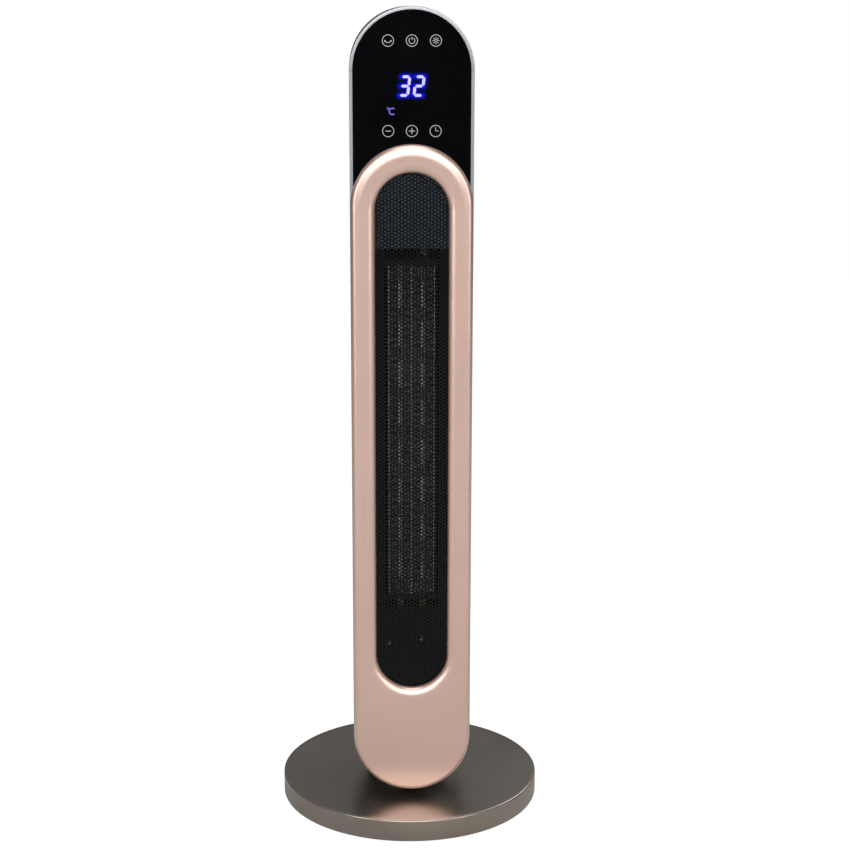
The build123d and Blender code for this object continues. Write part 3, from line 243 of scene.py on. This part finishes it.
# Swivel: nylon gear, washer and pinion are milky moulded plastic with a soft sheen, and the motor
# and its bracket are plated sheet.
nylon = finish_surface("milky_nylon", "#cfcdc4", "#dcdad2", 0.42, 0.8, 0.15)
dress(nylon, "thrust_washer", "swing_gear", "swing_pinion", "thermal_fuse", "power_capacitor")
dress(zinc, "swing_motor", "swing_bracket", "swing_motor_shaft")

# Neck and rear shell: black ABS with a fine spark-eroded texture, which turns the light soft.
# The shell is screwed to the front frame from behind through four wells.
textured_black = finish_surface("textured_black_abs", "#101011", "#171718", 0.42, 0.55, 0.45)
dress(textured_black, "neck", "rear_shell", "intake_grille")
dress(moulded_black, "switch_housing", "dust_filter")
dress(zinc, "case_screws")


# Silver band and cap: ABS strips in silver metallic paint round the front edge of the casing.
# They snap over the front frame and meet at a fine seam near the start of the arch.
LOOP_POINTS = 144
RIM_WIDTH = 3 * MM
ROUNDING = 1.0 * MM
ROUNDING_STEPS = 4
low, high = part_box("side_band")
cap_low, cap_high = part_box("top_cap")
tower_edge = (high.x, low.z, cap_high.z)
rim_front = low.y
band_back = high.y
seam_low = high.z
seam_high = cap_low.z
silver_paint = finish_surface(
    "silver_metallic_paint", "#96979a", "#a2a3a6", 0.34, 0.3, 0.1, metallic=0.6, coat=0.3
)


def stadium_loop(half_width, bottom, top, depth):
    """Adds one upright round-ended outline at a depth to the mesh in edit mode."""
    bpy.ops.mesh.primitive_circle_add(
        vertices=LOOP_POINTS,
        radius=half_width,
        location=(0, depth, 0),
        rotation=(pi / 2, pi / LOOP_POINTS, 0),
    )
    mesh = bmesh.from_edit_mesh(bpy.context.object.data)
    for point in mesh.verts:
        if point.select:
            point.co.z += top - half_width if point.co.z > 0 else bottom + half_width
    bmesh.update_edit_mesh(bpy.context.object.data)


def stadium_skin(outlines):
    """Adds the outlines in turn and bridges each to the next, and the last to the first."""
    for outline in outlines:
        stadium_loop(*outline)
    for start in range(len(outlines)):
        pair = (start, (start + 1) % len(outlines))
        select_points(lambda place, number: number // LOOP_POINTS in pair)
        bpy.ops.mesh.bridge_edge_loops()


def inset_outline(distance, depth, half_width, bottom, top):
    """A round-ended outline moved inwards by a distance."""
    return (half_width - distance, bottom + distance, top - distance, depth)


def quarter_turn(steps):
    """Angles from 0 to a right angle, both included."""
    return [step / steps * pi / 2 for step in range(steps + 1)]


band_outlines = [
    inset_outline(RIM_WIDTH, band_back, *tower_edge),
    inset_outline(RIM_WIDTH, rim_front, *tower_edge),
    *(
        inset_outline(ROUNDING * (1 - sin(angle)), rim_front + ROUNDING * (1 - cos(angle)), *tower_edge)
        for angle in quarter_turn(ROUNDING_STEPS)
    ),
    inset_outline(0, band_back, *tower_edge),
]
for name, node_name, cut_height, clear_above in (
    ("silver_side_band", "side_band", seam_low, True),
    ("silver_top_cap", "top_cap", seam_high, False),
):
    band = start_piece(name)
    stadium_skin(band_outlines)
    bpy.ops.mesh.select_all(action="SELECT")
    bpy.ops.mesh.bisect(
        plane_co=(0, 0, cut_height),
        plane_no=(0, 0, 1),
        use_fill=True,
        clear_outer=clear_above,
        clear_inner=not clear_above,
    )
    end_piece(band, silver_paint, "tower", replaces=[node_name])

# Front frame and baffle: smooth black mouldings behind the glass and the grille. Above the heater
# window the baffle's colour is a painted blue-grey sheen, a painted reflection of the light its polish
# catches through the sheet there.
MIX_LOWER = 6
MIX_UPPER = 7
MIX_RESULT = 2
polished_black = finish_surface(
    "polished_black_moulding", "#0a0b0d", "#0e1013", 0.22, 1.2, 0.08, specular=0.4
)


def paint_sheen_above(material, height, colour):
    """Paints a sheen of another colour onto a surface above a height of the tower: a painted reflection,
    not the surface's own tone.
    """
    shader = next(node for node in material.node_tree.nodes if node.type == "BSDF_PRINCIPLED")
    lower_tone = shader.inputs["Base Color"].links[0].from_socket
    place = add_node(material, "ShaderNodeTexCoord")
    axes = add_node(material, "ShaderNodeSeparateXYZ", links={0: (place, "Object")})
    share = add_node(
        material,
        "ShaderNodeMapRange",
        {"From Min": height - MM, "From Max": height + MM},
        {"Value": (axes, "Z")},
    )
    # The moulding's own tone below the height, the painted blue-grey sheen above it.
    painted_sheen = add_node(
        material, "ShaderNodeMix", {MIX_UPPER: linear(colour)}, {0: (share, "Result")}, data_type="RGBA"
    )
    material.node_tree.links.new(lower_tone, painted_sheen.inputs[MIX_LOWER])
    material.node_tree.links.new(painted_sheen.outputs[MIX_RESULT], shader.inputs["Base Color"])


# Painted reflection: the baffle turns blue-grey above the duct's upper plate to stand in for its sheen.
paint_sheen_above(polished_black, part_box("duct_upper_plate")[0].z, "#5c6878")
dress(polished_black, "outlet_baffle")
dress(moulded_black, "front_frame", "element_end_caps", "fan_scroll", "fan_tongue")
dress(moulded_black, "relays", "tilt_switch")
dress(moulded_black, "fan_wheel", "upper_bearing", "motor_spacers", "digit_module")
dress(zinc, "baffle_screws", "duct_upper_plate", "duct_lower_plate", "motor_bridges")
dress(zinc, "motor_shaft", "stub_shaft")
dress(zinc, "motor_rotor", "thermal_cutout")

# Motor stack, coil and boards: dull laminated steel, enamelled copper, green laminate and brass.
laminations = finish_surface("laminated_steel", "#4d4e50", "#66676a", 0.5, 0.5, 0.4, metallic=0.9)
copper = finish_surface("enamelled_copper_wire", "#8a4a24", "#a35c30", 0.35, 0.45, 0.5, metallic=0.9)
laminate = finish_surface("green_board_laminate", "#0d3d22", "#124a2b", 0.4, 1.0, 0.2)
brass = finish_surface("brass_strip", "#b39650", "#c9ad68", 0.3, 0.4, 0.1, metallic=1.0)
dress(laminations, "motor_stack")
dress(copper, "motor_coil")
dress(laminate, "display_board", "control_board")
dress(brass, "touch_pads", "element_terminals")

# Heating element: mill-finish aluminium sheet folded into fine corrugations between plates, and
# fired white ceramic stones that show as bright dashes on the electrodes.
aluminium = finish_surface("mill_finish_aluminium", "#b9b6ae", "#cfccc4", 0.4, 0.5, 0.2, metallic=0.7)
ceramic = finish_surface("fired_ceramic", "#d8d4c8", "#e8e5da", 0.6, 0.5, 0.2)
dress(aluminium, "electrode_strips", "element_plates")
dress(ceramic, "ceramic_stones")
FIN_SETBACK = 0.4 * MM
FIN_WIDTH = 8.4 * MM
FIN_PITCH = 2.3 * MM
FIN_STRIP = 1.0 * MM
INNER_COLUMN = 5 * MM
low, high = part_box("heater_fins")
fin_front = low.y + FIN_SETBACK
fin_back = high.y - FIN_SETBACK
fin_height = high.z - low.z
outer_column = high.x - FIN_WIDTH / 2
fold_reach = (FIN_WIDTH - 2 * FIN_STRIP) / 2
fin_folds = int(fin_height / FIN_PITCH)


def link_rows(mesh, rows, closed=False):
    """Joins rows of four points to a bar with ends or, if closed, to a ring."""
    pairs = list(zip(rows, rows[1:]))
    if closed:
        pairs.append((rows[-1], rows[0]))
    for near, far in pairs:
        for side in range(4):
            mesh.faces.new((near[side], near[(side + 1) % 4], far[(side + 1) % 4], far[side]))
    if not closed:
        mesh.faces.new(rows[0][::-1])
        mesh.faces.new(rows[-1])


fins = start_piece("corrugated_fins")
mesh = bmesh.from_edit_mesh(fins.data)
for column in (-outer_column, -INNER_COLUMN, INNER_COLUMN, outer_column):
    rows = []
    for fold in range(2 * fin_folds + 1):
        middle = column + fold_reach * (1 if fold % 2 else -1)
        height = low.z + fold * fin_height / (2 * fin_folds)
        corners = (
            (middle - FIN_STRIP / 2, fin_front, height),
            (middle + FIN_STRIP / 2, fin_front, height),
            (middle + FIN_STRIP / 2, fin_back, height),
            (middle - FIN_STRIP / 2, fin_back, height),
        )
        rows.append([mesh.verts.new(corner) for corner in corners])
    link_rows(mesh, rows)
bmesh.update_edit_mesh(fins.data)
end_piece(fins, aluminium, "tower", smooth=10, replaces=["heater_fins"])

# Outlet grille: thin steel sheet pierced with round holes in a triangular pattern, then powder
# coated black. It lies in the front frame, clamped by the front panel.
HOLE_STEP = 3.6 * MM
HOLE_RADIUS = 1.22 * MM
HOLE_SIDES = 8
low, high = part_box("outlet_grille")
sheet_front = low.y
sheet_back = high.y
sheet_half = high.x
column_step = HOLE_STEP * sqrt(3) / 2
side_columns = int(sheet_half / column_step)
column_count = 2 * side_columns + 1
row_count = int((high.z - low.z) / HOLE_STEP) + 1
first_x = -side_columns * column_step
first_z = (low.z + high.z) / 2 - row_count / 2 * HOLE_STEP
powder_black = finish_surface("black_powder_coat", "#060607", "#0a0a0b", 0.25, 0.4, 0.3, specular=0.18)
sheet = start_piece("pierced_outlet_sheet")
bpy.ops.mesh.primitive_circle_add(
    vertices=HOLE_SIDES,
    radius=HOLE_RADIUS,
    location=(0, sheet_front, 0),
    rotation=(pi / 2, pi / HOLE_SIDES, 0),
)
bpy.ops.mesh.primitive_plane_add(size=1, location=(0, sheet_front, 0), rotation=(pi / 2, 0, 0))
bpy.ops.transform.resize(value=(column_step, 1, HOLE_STEP), center_override=(0, sheet_front, 0))
bpy.ops.mesh.delete(type="ONLY_FACE")
select_points(lambda place, number: number >= HOLE_SIDES)
bpy.ops.mesh.subdivide(number_cuts=1)
bpy.ops.mesh.select_all(action="SELECT")
bpy.ops.mesh.bridge_edge_loops()
bpy.ops.mesh.select_all(action="SELECT")
bpy.ops.mesh.duplicate()
bpy.ops.transform.translate(value=(0, sheet_back - sheet_front, 0))
select_points(lambda place, number: hypot(place.x, place.z) < HOLE_RADIUS * 1.01)
bpy.ops.mesh.bridge_edge_loops()
bpy.ops.object.mode_set(mode="OBJECT")
for label, count, offset in (
    ("rows", row_count, (0, 0, HOLE_STEP)),
    ("columns", column_count, (column_step, 0, 0)),
):
    array = sheet.modifiers.new(label, "ARRAY")
    array.count = count
    array.use_relative_offset = False
    array.use_constant_offset = True
    array.constant_offset_displace = offset
    bpy.ops.object.modifier_apply(modifier=label)
bpy.ops.object.mode_set(mode="EDIT")
mesh = bmesh.from_edit_mesh(sheet.data)
cell_points = len(mesh.verts) // (row_count * column_count)
outside = set()
for point in mesh.verts:
    column, row = divmod(point.index // cell_points, row_count)
    column_z = first_z + (column % 2) * HOLE_STEP / 2
    point.co.x += first_x
    point.co.z += column_z
    centre_x = column * column_step + first_x
    centre_z = row * HOLE_STEP + column_z
    nearest = min(max(centre_z, low.z + sheet_half), high.z - sheet_half)
    if hypot(centre_x, centre_z - nearest) > sheet_half - HOLE_STEP:
        outside.add(point.index)
bmesh.update_edit_mesh(sheet.data)
select_points(lambda place, number: number in outside)
bpy.ops.mesh.delete(type="VERT")
bpy.ops.mesh.select_all(action="SELECT")
bpy.ops.mesh.remove_doubles(threshold=0.02 * MM)
end_piece(sheet, powder_black, "tower", smooth=20, replaces=["outlet_grille"])

# Front panel: moulded ABS in a satin rose-gold metallic lacquer. Its face is slightly crowned,
# its outer edge is well rounded and a soft lip rolls into the opening. Pegs hold it to the frame.
OPENING_HALF = 34.8 * MM
OPENING_LOW = 140 * MM
OPENING_HIGH = 648.5 * MM
OUTER_ROUNDING = 5.5 * MM
LIP_REACH = 10.5 * MM
LIP_DEPTH = 6.48 * MM
CROWN = 0.7 * MM
EDGE_STEPS = 8
FACE_STEPS = 4
low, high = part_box("front_panel")
panel_front = low.y
panel_edge = (high.x, low.z, high.z)
opening_edge = (OPENING_HALF, OPENING_LOW, OPENING_HIGH)
rose_paint = finish_surface(
    "rose_gold_lacquer",
    "#cc9f8a",
    "#d0a38e",
    0.36,
    0.3,
    0.08,
    metallic=0.7,
    coat=1.0,
    coat_rough=0.34,
    coat_ior=3.0,
)


def face_outline(across):
    """An outline of the crowned face, from its outer edge (0) to its opening (1)."""
    outer = inset_outline(OUTER_ROUNDING, 0, *panel_edge)[:3]
    inner = inset_outline(-LIP_REACH, 0, *opening_edge)[:3]
    depth = panel_front + CROWN * (2 * across - 1) ** 2
    return tuple(a + (b - a) * across for a, b in zip(outer, inner)) + (depth,)


edge_depth = panel_front + CROWN
panel_outlines = [
    inset_outline(0, rim_front, *panel_edge),
    *(
        inset_outline(
            OUTER_ROUNDING * (1 - cos(angle)), edge_depth + OUTER_ROUNDING * (1 - sin(angle)), *panel_edge
        )
        for angle in quarter_turn(EDGE_STEPS)[:-1]
    ),
    *(face_outline(step / FACE_STEPS) for step in range(FACE_STEPS + 1)),
    *(
        inset_outline(
            -LIP_REACH * (1 - sin(angle)), edge_depth + LIP_DEPTH * (1 - cos(angle)), *opening_edge
        )
        for angle in quarter_turn(EDGE_STEPS)[1:]
    ),
    inset_outline(0, rim_front, *opening_edge),
]
panel = start_piece("rose_gold_panel")
stadium_skin(panel_outlines)
end_piece(panel, rose_paint, "tower", smooth=45, replaces=["front_panel"])

# Control glass: a sheet of smoked acrylic, printed black on its back, with polished edges and a
# thin clear coat. It is bonded to the frame.
low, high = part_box("control_glass")
glass_front = low.y
glass_black = finish_surface(
    "smoked_black_acrylic", "#020203", "#050507", 0.06, 2.0, 0.01, coat=0.4, coat_rough=0.02, spread=0.03
)
dress(glass_black, "control_glass")

# Digits: two slanted seven-segment figures, about 20 mm high, of blue-white light that shines
# through the glass. Each lit bar is drawn as a thin six-sided plate just before its face.
READOUT = "32"
DIGIT_HEIGHT = 19.5 * MM
DIGIT_WIDTH = 10.0 * MM
DIGIT_SLANT = radians(7)
DIGIT_STEP = 13.2 * MM
BAR = 2.6 * MM
BAR_GAP = 0.25 * MM
BAR_THICKNESS = 0.04 * MM
PRINT_LIFT = 0.06 * MM
digits_low, digits_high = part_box("digit_module")
digits_z = (digits_low.z + digits_high.z) / 2
BARS = {
    "a": ((0, 1), (1, 1)),
    "b": ((1, 1), (1, 0)),
    "c": ((1, 0), (1, -1)),
    "d": ((0, -1), (1, -1)),
    "e": ((0, 0), (0, -1)),
    "f": ((0, 1), (0, 0)),
    "g": ((0, 0), (1, 0)),
}
FIGURES = {"3": "abgcd", "2": "abged"}


def light_material(name, colour, strength):
    """A lit diffuser whose brightness varies a little with its moulded grain."""
    material = new_material(name)
    place = add_node(material, "ShaderNodeTexCoord")
    grain = add_node(
        material, "ShaderNodeTexNoise", {"Scale": 900.0, "Detail": 2.0}, {"Vector": (place, "Object")}
    )
    level = add_node(
        material,
        "ShaderNodeMapRange",
        {"To Min": strength * 0.9, "To Max": strength * 1.1},
        {"Value": (grain, "Fac")},
    )
    glow = add_node(
        material, "ShaderNodeEmission", {"Color": linear(colour)}, {"Strength": (level, "Result")}
    )
    add_node(material, "ShaderNodeOutputMaterial", links={"Surface": (glow, "Emission")})
    return material


def segment_line(bar, centre_x):
    """Both ends of one bar of a figure, slanted, in the plane of the glass."""
    ends = []
    for across, up in BARS[bar]:
        z = up * (DIGIT_HEIGHT - BAR) / 2
        x = centre_x + (across - 0.5) * (DIGIT_WIDTH - BAR) + z * sin(DIGIT_SLANT)
        ends.append((x, z + digits_z))
    return ends


def add_bar(ends):
    """Adds one flat six-sided bar between two points to the mesh in edit mode."""
    (x0, z0), (x1, z1) = ends
    tip = hypot(x1 - x0, z1 - z0) / 2 - BAR_GAP
    shoulder = tip - BAR / 2
    along = Vector((x1 - x0, 0, z1 - z0)).normalized()
    across = Vector((-along.z, 0, along.x))
    middle = Vector(((x0 + x1) / 2, glass_front - PRINT_LIFT, (z0 + z1) / 2))
    shape = (
        (tip, 0),
        (shoulder, BAR / 2),
        (-shoulder, BAR / 2),
        (-tip, 0),
        (-shoulder, -BAR / 2),
        (shoulder, -BAR / 2),
    )
    bpy.ops.mesh.primitive_circle_add(vertices=len(shape), radius=1, fill_type="NGON")
    mesh = bmesh.from_edit_mesh(bpy.context.object.data)
    chosen = [point for point in mesh.verts if point.select]
    for point, (u, v) in zip(chosen, shape):
        point.co = middle + along * u + across * v
    bmesh.update_edit_mesh(bpy.context.object.data)
    bpy.ops.mesh.extrude_region_move(TRANSFORM_OT_translate={"value": (0, -BAR_THICKNESS, 0)})


lit_lines = [
    segment_line(bar, (position - 0.5) * DIGIT_STEP)
    for position, figure in enumerate(READOUT)
    for bar in FIGURES[figure]
]
led_core = light_material("led_diffuser_lilac_white", "#dcd6ff", 1.0)
core = start_piece("display_figures")
for ends in lit_lines:
    add_bar(ends)
end_piece(core, led_core, "tower")

# Halo: blue light that spreads round the lit bars in the smoked sheet. Its strength is worked out
# at each point of a fine grid from the distance to the nearest bar, and its edge is clear.
HALO_COLUMNS = 96
HALO_ROWS = 80
HALO_WIDTH = 40 * MM
HALO_HEIGHT = 34 * MM
HALO_REACH = 1.7 * MM
HALO_EDGE = 0.04
HALO_PEAK = 0.62
halo_grid = start_piece("display_halo")
bpy.ops.mesh.primitive_grid_add(
    x_subdivisions=HALO_COLUMNS,
    y_subdivisions=HALO_ROWS,
    size=1,
    location=(0, glass_front - PRINT_LIFT / 2, digits_z),
    rotation=(pi / 2, 0, 0),
)
bpy.ops.transform.resize(
    value=(HALO_WIDTH, 1, HALO_HEIGHT), center_override=(0, glass_front, digits_z)
)
bpy.ops.object.mode_set(mode="OBJECT")


def distance_to_line(x, z, ends):
    """Distance from a point of the glass to a bar's centre line."""
    (x0, z0), (x1, z1) = ends
    share = ((x - x0) * (x1 - x0) + (z - z0) * (z1 - z0)) / ((x1 - x0) ** 2 + (z1 - z0) ** 2)
    share = min(max(share, 0), 1)
    return hypot(x - x0 - share * (x1 - x0), z - z0 - share * (z1 - z0))


def mix_shaders(owner, share, first, second):
    """Mixes two shaders by a share; each is given as a node and the name of its output."""
    return add_node(owner, "ShaderNodeMixShader", links={0: share, 1: first, 2: second})


halo_strength = halo_grid.data.attributes.new("halo", "FLOAT", "POINT")
for number, point in enumerate(halo_grid.data.vertices):
    distance = min(distance_to_line(point.co.x, point.co.z, ends) for ends in lit_lines)
    past_bar = max(distance - BAR / 2, 0) / HALO_REACH
    halo_strength.data[number].value = 1 / (1 + past_bar**2) ** 2
halo_material = new_material("blue_halo_in_acrylic")
strength = add_node(halo_material, "ShaderNodeAttribute", attribute_name="halo")
share = add_node(
    halo_material,
    "ShaderNodeMapRange",
    {"From Min": HALO_EDGE, "From Max": 1.0, "To Min": 0.0, "To Max": HALO_PEAK},
    {"Value": (strength, "Fac")},
)
blue = add_node(halo_material, "ShaderNodeEmission", {"Color": linear("#1420ff"), "Strength": 1.0})
clear = add_node(halo_material, "ShaderNodeBsdfTransparent")
halo = mix_shaders(halo_material, (share, "Result"), (clear, "BSDF"), (blue, "Emission"))
add_node(halo_material, "ShaderNodeOutputMaterial", links={"Surface": (halo, "Shader")})
halo_grid.data.materials.append(halo_material)
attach(halo_grid, "tower")

# Touch symbols: fine white rings and signs in the print of the glass, lit from behind. They are
# drawn as thin lines of ink that lie on its face.
RING_RADIUS = 5.2 * MM
LINE = 0.55 * MM
TOUCH_STEP = 22 * MM
UPPER_ROW = 769 * MM
LOWER_ROW = 687 * MM
SWING_RADIUS = 3.4 * MM
SWING_RISE = 1.6 * MM
BARB_REACH = 1.1 * MM
BARB_DROP = 1.2 * MM
BARB_LEAN = 0.1 * MM
POWER_RADIUS = 2.7 * MM
POWER_BAR = (0.6 * MM, 3.3 * MM)
SUN_RADIUS = 1.2 * MM
SUN_RAYS = 8
RAY = (1.9 * MM, 3.3 * MM)
SIGN_LINE = 0.6 * MM
MINUS_HALF = 2.6 * MM
PLUS_HALF = 2.8 * MM
PLUS_GAP = 0.3 * MM
LONG_HAND = 3.4 * MM
SHORT_HAND = 2.8 * MM
white_ink = light_material("backlit_white_ink", "#d6d7da", 0.85)


def add_stroke(points, width=LINE, closed=False):
    """Adds a flat line of ink through points of the glass to the mesh in edit mode."""
    mesh = bmesh.from_edit_mesh(bpy.context.object.data)
    lift = Vector((0, -PRINT_LIFT, 0))
    count = len(points)
    rows = []
    for number, (x, z) in enumerate(points):
        if closed:
            before, after = points[number - 1], points[(number + 1) % count]
        else:
            before, after = points[max(number - 1, 0)], points[min(number + 1, count - 1)]
        along = Vector((after[0] - before[0], 0, after[1] - before[1])).normalized()
        side = Vector((-along.z, 0, along.x)) * width / 2
        centre = Vector((x, glass_front, z))
        corners = (centre + side, centre + side + lift, centre - side + lift, centre - side)
        rows.append([mesh.verts.new(corner) for corner in corners])
    link_rows(mesh, rows, closed)
    bmesh.update_edit_mesh(bpy.context.object.data)


def arc_points(x, z, radius, start, end, count=24):
    """Points of an arc of the glass between two angles in degrees."""
    angles = [radians(start + (end - start) * step / count) for step in range(count + 1)]
    return [(x + radius * cos(angle), z + radius * sin(angle)) for angle in angles]


def add_ring(x, z, radius, count, width=LINE):
    """Adds a full ring of ink to the mesh in edit mode."""
    add_stroke(arc_points(x, z, radius, 0, 360, count)[:-1], width, closed=True)


symbols = start_piece("touch_symbols")
for column in (-1, 0, 1):
    for row in (UPPER_ROW, LOWER_ROW):
        add_ring(column * TOUCH_STEP, row, RING_RADIUS, 48)
swing_arc = arc_points(-TOUCH_STEP, UPPER_ROW + SWING_RISE, SWING_RADIUS, 205, 335)
add_stroke(swing_arc)
for (x, z), lean in ((swing_arc[0], -1), (swing_arc[-1], 1)):
    outer_barb = (x - lean * BARB_REACH, z - BARB_LEAN)
    lower_barb = (x + lean * BARB_LEAN, z - BARB_DROP)
    add_stroke([outer_barb, (x, z), lower_barb])
add_stroke(arc_points(0, UPPER_ROW, POWER_RADIUS, 125, 415))
add_stroke([(0, UPPER_ROW + height) for height in POWER_BAR])
add_ring(TOUCH_STEP, UPPER_ROW, SUN_RADIUS, 20)
for ray in range(SUN_RAYS):
    angle = 2 * pi * ray / SUN_RAYS
    add_stroke([(TOUCH_STEP + reach * cos(angle), UPPER_ROW + reach * sin(angle)) for reach in RAY])
add_stroke([(side * MINUS_HALF - TOUCH_STEP, LOWER_ROW) for side in (-1, 1)], SIGN_LINE)
add_stroke([(side * PLUS_HALF, LOWER_ROW) for side in (-1, 1)], SIGN_LINE)
for side in (1, -1):
    add_stroke([(0, LOWER_ROW + side * height) for height in (PLUS_GAP, PLUS_HALF)], SIGN_LINE)
hand_tips = ((TOUCH_STEP, LOWER_ROW + LONG_HAND), (TOUCH_STEP + SHORT_HAND, LOWER_ROW))
add_stroke([hand_tips[0], (TOUCH_STEP, LOWER_ROW), hand_tips[1]])
end_piece(symbols, white_ink, "tower")

# Degree sign: the unit under the digits, a small ring and a round C in pale lilac light.
UNIT_X = -19.5 * MM
UNIT_Z = 705 * MM
DEGREE_OFFSET = 2.6 * MM
DEGREE_RADIUS = 0.8 * MM
DEGREE_LINE = 0.5 * MM
LETTER_OFFSET = 1.4 * MM
LETTER_RADIUS = 2.9 * MM
LETTER_LINE = 0.9 * MM
unit_ink = light_material("lilac_backlight", "#8f86ff", 1.0)
unit = start_piece("degree_sign")
add_ring(UNIT_X - DEGREE_OFFSET, UNIT_Z + DEGREE_OFFSET, DEGREE_RADIUS, 16, DEGREE_LINE)
add_stroke(arc_points(UNIT_X + LETTER_OFFSET, UNIT_Z, LETTER_RADIUS, 50, 310), LETTER_LINE)
end_piece(unit, unit_ink, "tower")

# Main switch: black rocker with the usual on and off marks, a bar and a ring, printed in white on
# its two slanted faces. At rest its lower end is pressed in.
ROCKER_AXIS = Vector((0, 56.5 * MM, 155 * MM))
ROCKER_TILT = radians(9)
FACE_SLOPE = radians(7.5)
FACE_HEIGHT = 3.96 * MM
MARK_RISE = 4.2 * MM
MARK_SIZE = 1.5 * MM
MARK_LINE = 0.2 * MM
outward = Vector((0, cos(ROCKER_TILT), -sin(ROCKER_TILT)))
upward = Vector((0, sin(ROCKER_TILT), cos(ROCKER_TILT)))
mark_print = finish_surface("white_pad_print", "#d6d6d3", "#e2e2df", 0.5, 0.4, 0.1)
dress(moulded_black, "switch_rocker")
marks = start_piece("switch_marks")
for side in (1, -1):
    place = ROCKER_AXIS + outward * FACE_HEIGHT + upward * side * MARK_RISE
    turn = -ROCKER_TILT - side * FACE_SLOPE
    if side > 0:
        size = (2 * MARK_LINE, MARK_LINE, 2 * MARK_SIZE)
        bpy.ops.mesh.primitive_cube_add(size=1, location=place, rotation=(turn, 0, 0), scale=size)
    else:
        bpy.ops.mesh.primitive_torus_add(
            location=place,
            rotation=(pi / 2 + turn, 0, 0),
            major_radius=MARK_SIZE,
            minor_radius=MARK_LINE,
            major_segments=32,
            minor_segments=6,
        )
end_piece(marks, mark_print, "rocker")

# Floor: a pale studio floor that keeps the shadow. It shines a little where the camera sees it,
# also through clear pieces, so that it meets the white background without a line.
FLOOR_SIZE = 7
FLOOR_SHADE = 0.46
FLOOR_GLOW = 1.33
GLOW_SHARE = 0.72
WHITE = (1, 1, 1, 1)


def seen_directly(owner):
    """A node that gives 1 for rays from the camera, also through clear pieces, and else 0."""
    path = add_node(owner, "ShaderNodeLightPath")
    rays = {0: (path, "Is Camera Ray"), 1: (path, "Is Transmission Ray")}
    return add_node(owner, "ShaderNodeMath", links=rays, operation="MAXIMUM")


bpy.ops.object.select_all(action="DESELECT")
bpy.ops.mesh.primitive_plane_add(size=FLOOR_SIZE, location=(0, 0, 0))
floor = bpy.context.object
floor.name = "studio_floor"
pale_floor = new_material("pale_floor")
direct = seen_directly(pale_floor)
glow_share = add_node(
    pale_floor, "ShaderNodeMath", {1: GLOW_SHARE}, {0: (direct, "Value")}, operation="MULTIPLY"
)
matt = add_node(pale_floor, "ShaderNodeBsdfDiffuse", {"Color": (FLOOR_SHADE,) * 3 + (1,)})
shine = add_node(pale_floor, "ShaderNodeEmission", {"Color": WHITE, "Strength": FLOOR_GLOW})
floor_mix = mix_shaders(pale_floor, (glow_share, "Value"), (matt, "BSDF"), (shine, "Emission"))
add_node(pale_floor, "ShaderNodeOutputMaterial", links={"Surface": (floor_mix, "Shader")})
floor.data.materials.append(pale_floor)

# Surroundings: even light all round for matt surfaces, a white backdrop for the camera, and for
# glossy ones a dim room that grows brighter upwards.
AMBIENT = 0.4
ROOM_TINT = (0.92, 0.96, 1, 1)
world = bpy.data.worlds.new("studio")
bpy.context.scene.world = world
world.use_nodes = True
world.node_tree.nodes.clear()
ambient = add_node(world, "ShaderNodeBackground", {"Color": WHITE, "Strength": AMBIENT})
direction = add_node(world, "ShaderNodeTexCoord")
axes = add_node(world, "ShaderNodeSeparateXYZ", links={0: (direction, "Generated")})
room_level = add_node(
    world,
    "ShaderNodeMapRange",
    {"From Min": 0.05, "From Max": 0.5, "To Min": 0.03, "To Max": 0.3},
    {"Value": (axes, "Z")},
)
room = add_node(world, "ShaderNodeBackground", {"Color": ROOM_TINT}, {"Strength": (room_level, "Result")})
backdrop = add_node(world, "ShaderNodeBackground", {"Color": WHITE, "Strength": 1.0})
path = add_node(world, "ShaderNodeLightPath")
lighting = mix_shaders(world, (path, "Is Glossy Ray"), (ambient, "Background"), (room, "Background"))
direct = seen_directly(world)
world_mix = mix_shaders(world, (direct, "Value"), (lighting, "Shader"), (backdrop, "Background"))
add_node(world, "ShaderNodeOutputWorld", links={"Surface": (world_mix, "Shader")})


# Lights: a wide soft box above and in front, a strip at each side, and weak ones above and behind.
# Each is given by its place, the height it aims at on the tower's axis, its size and its power.
def soft_light(name, place, aim_height, size, power):
    """A rectangular soft box at a place, turned to a point of the tower's axis."""
    lamp = bpy.data.lights.new(name, "AREA")
    lamp.shape = "RECTANGLE"
    lamp.size, lamp.size_y = size
    lamp.energy = power
    holder = bpy.data.objects.new(name, lamp)
    bpy.context.scene.collection.objects.link(holder)
    holder.location = place
    holder.rotation_euler = (Vector((0, 0, aim_height)) - Vector(place)).to_track_quat("-Z", "Y").to_euler()


soft_light("front_light", (0, -3.0, 1.95), 0.6, (3.3, 1.9), 84)
soft_light("left_light", (-1.7, -1.7, 1.0), 0.5, (0.5, 1.4), 14)
soft_light("right_light", (1.7, -1.7, 1.0), 0.5, (0.5, 1.4), 12)
soft_light("top_light", (0, -0.6, 2.8), 0.4, (1.5, 1.0), 14)
soft_light("back_light", (1.6, 1.8, 2.2), 0.4, (1.2, 1.2), 22)

# Camera: level with the top of the tower and a little to its left, and turned down so that the
# heater fills the picture's height as in the photograph.
LENS = 76
SENSOR = 36
SIDE_SHIFT = 0.017
CAMERA_PLACE = Vector((-0.054, -1.75, 0.8))
CAMERA_AIM = Vector((0, -0.03, 0.398))
camera_data = bpy.data.cameras.new("camera")
camera_data.sensor_width = SENSOR
camera_data.lens = LENS
camera_data.shift_x = SIDE_SHIFT
camera = bpy.data.objects.new("camera", camera_data)
bpy.context.scene.collection.objects.link(camera)
camera.location = CAMERA_PLACE
camera.rotation_euler = (CAMERA_AIM - CAMERA_PLACE).to_track_quat("-Z", "Y").to_euler()
bpy.context.scene.camera = camera
bpy.context.scene.view_settings.view_transform = "Standard"
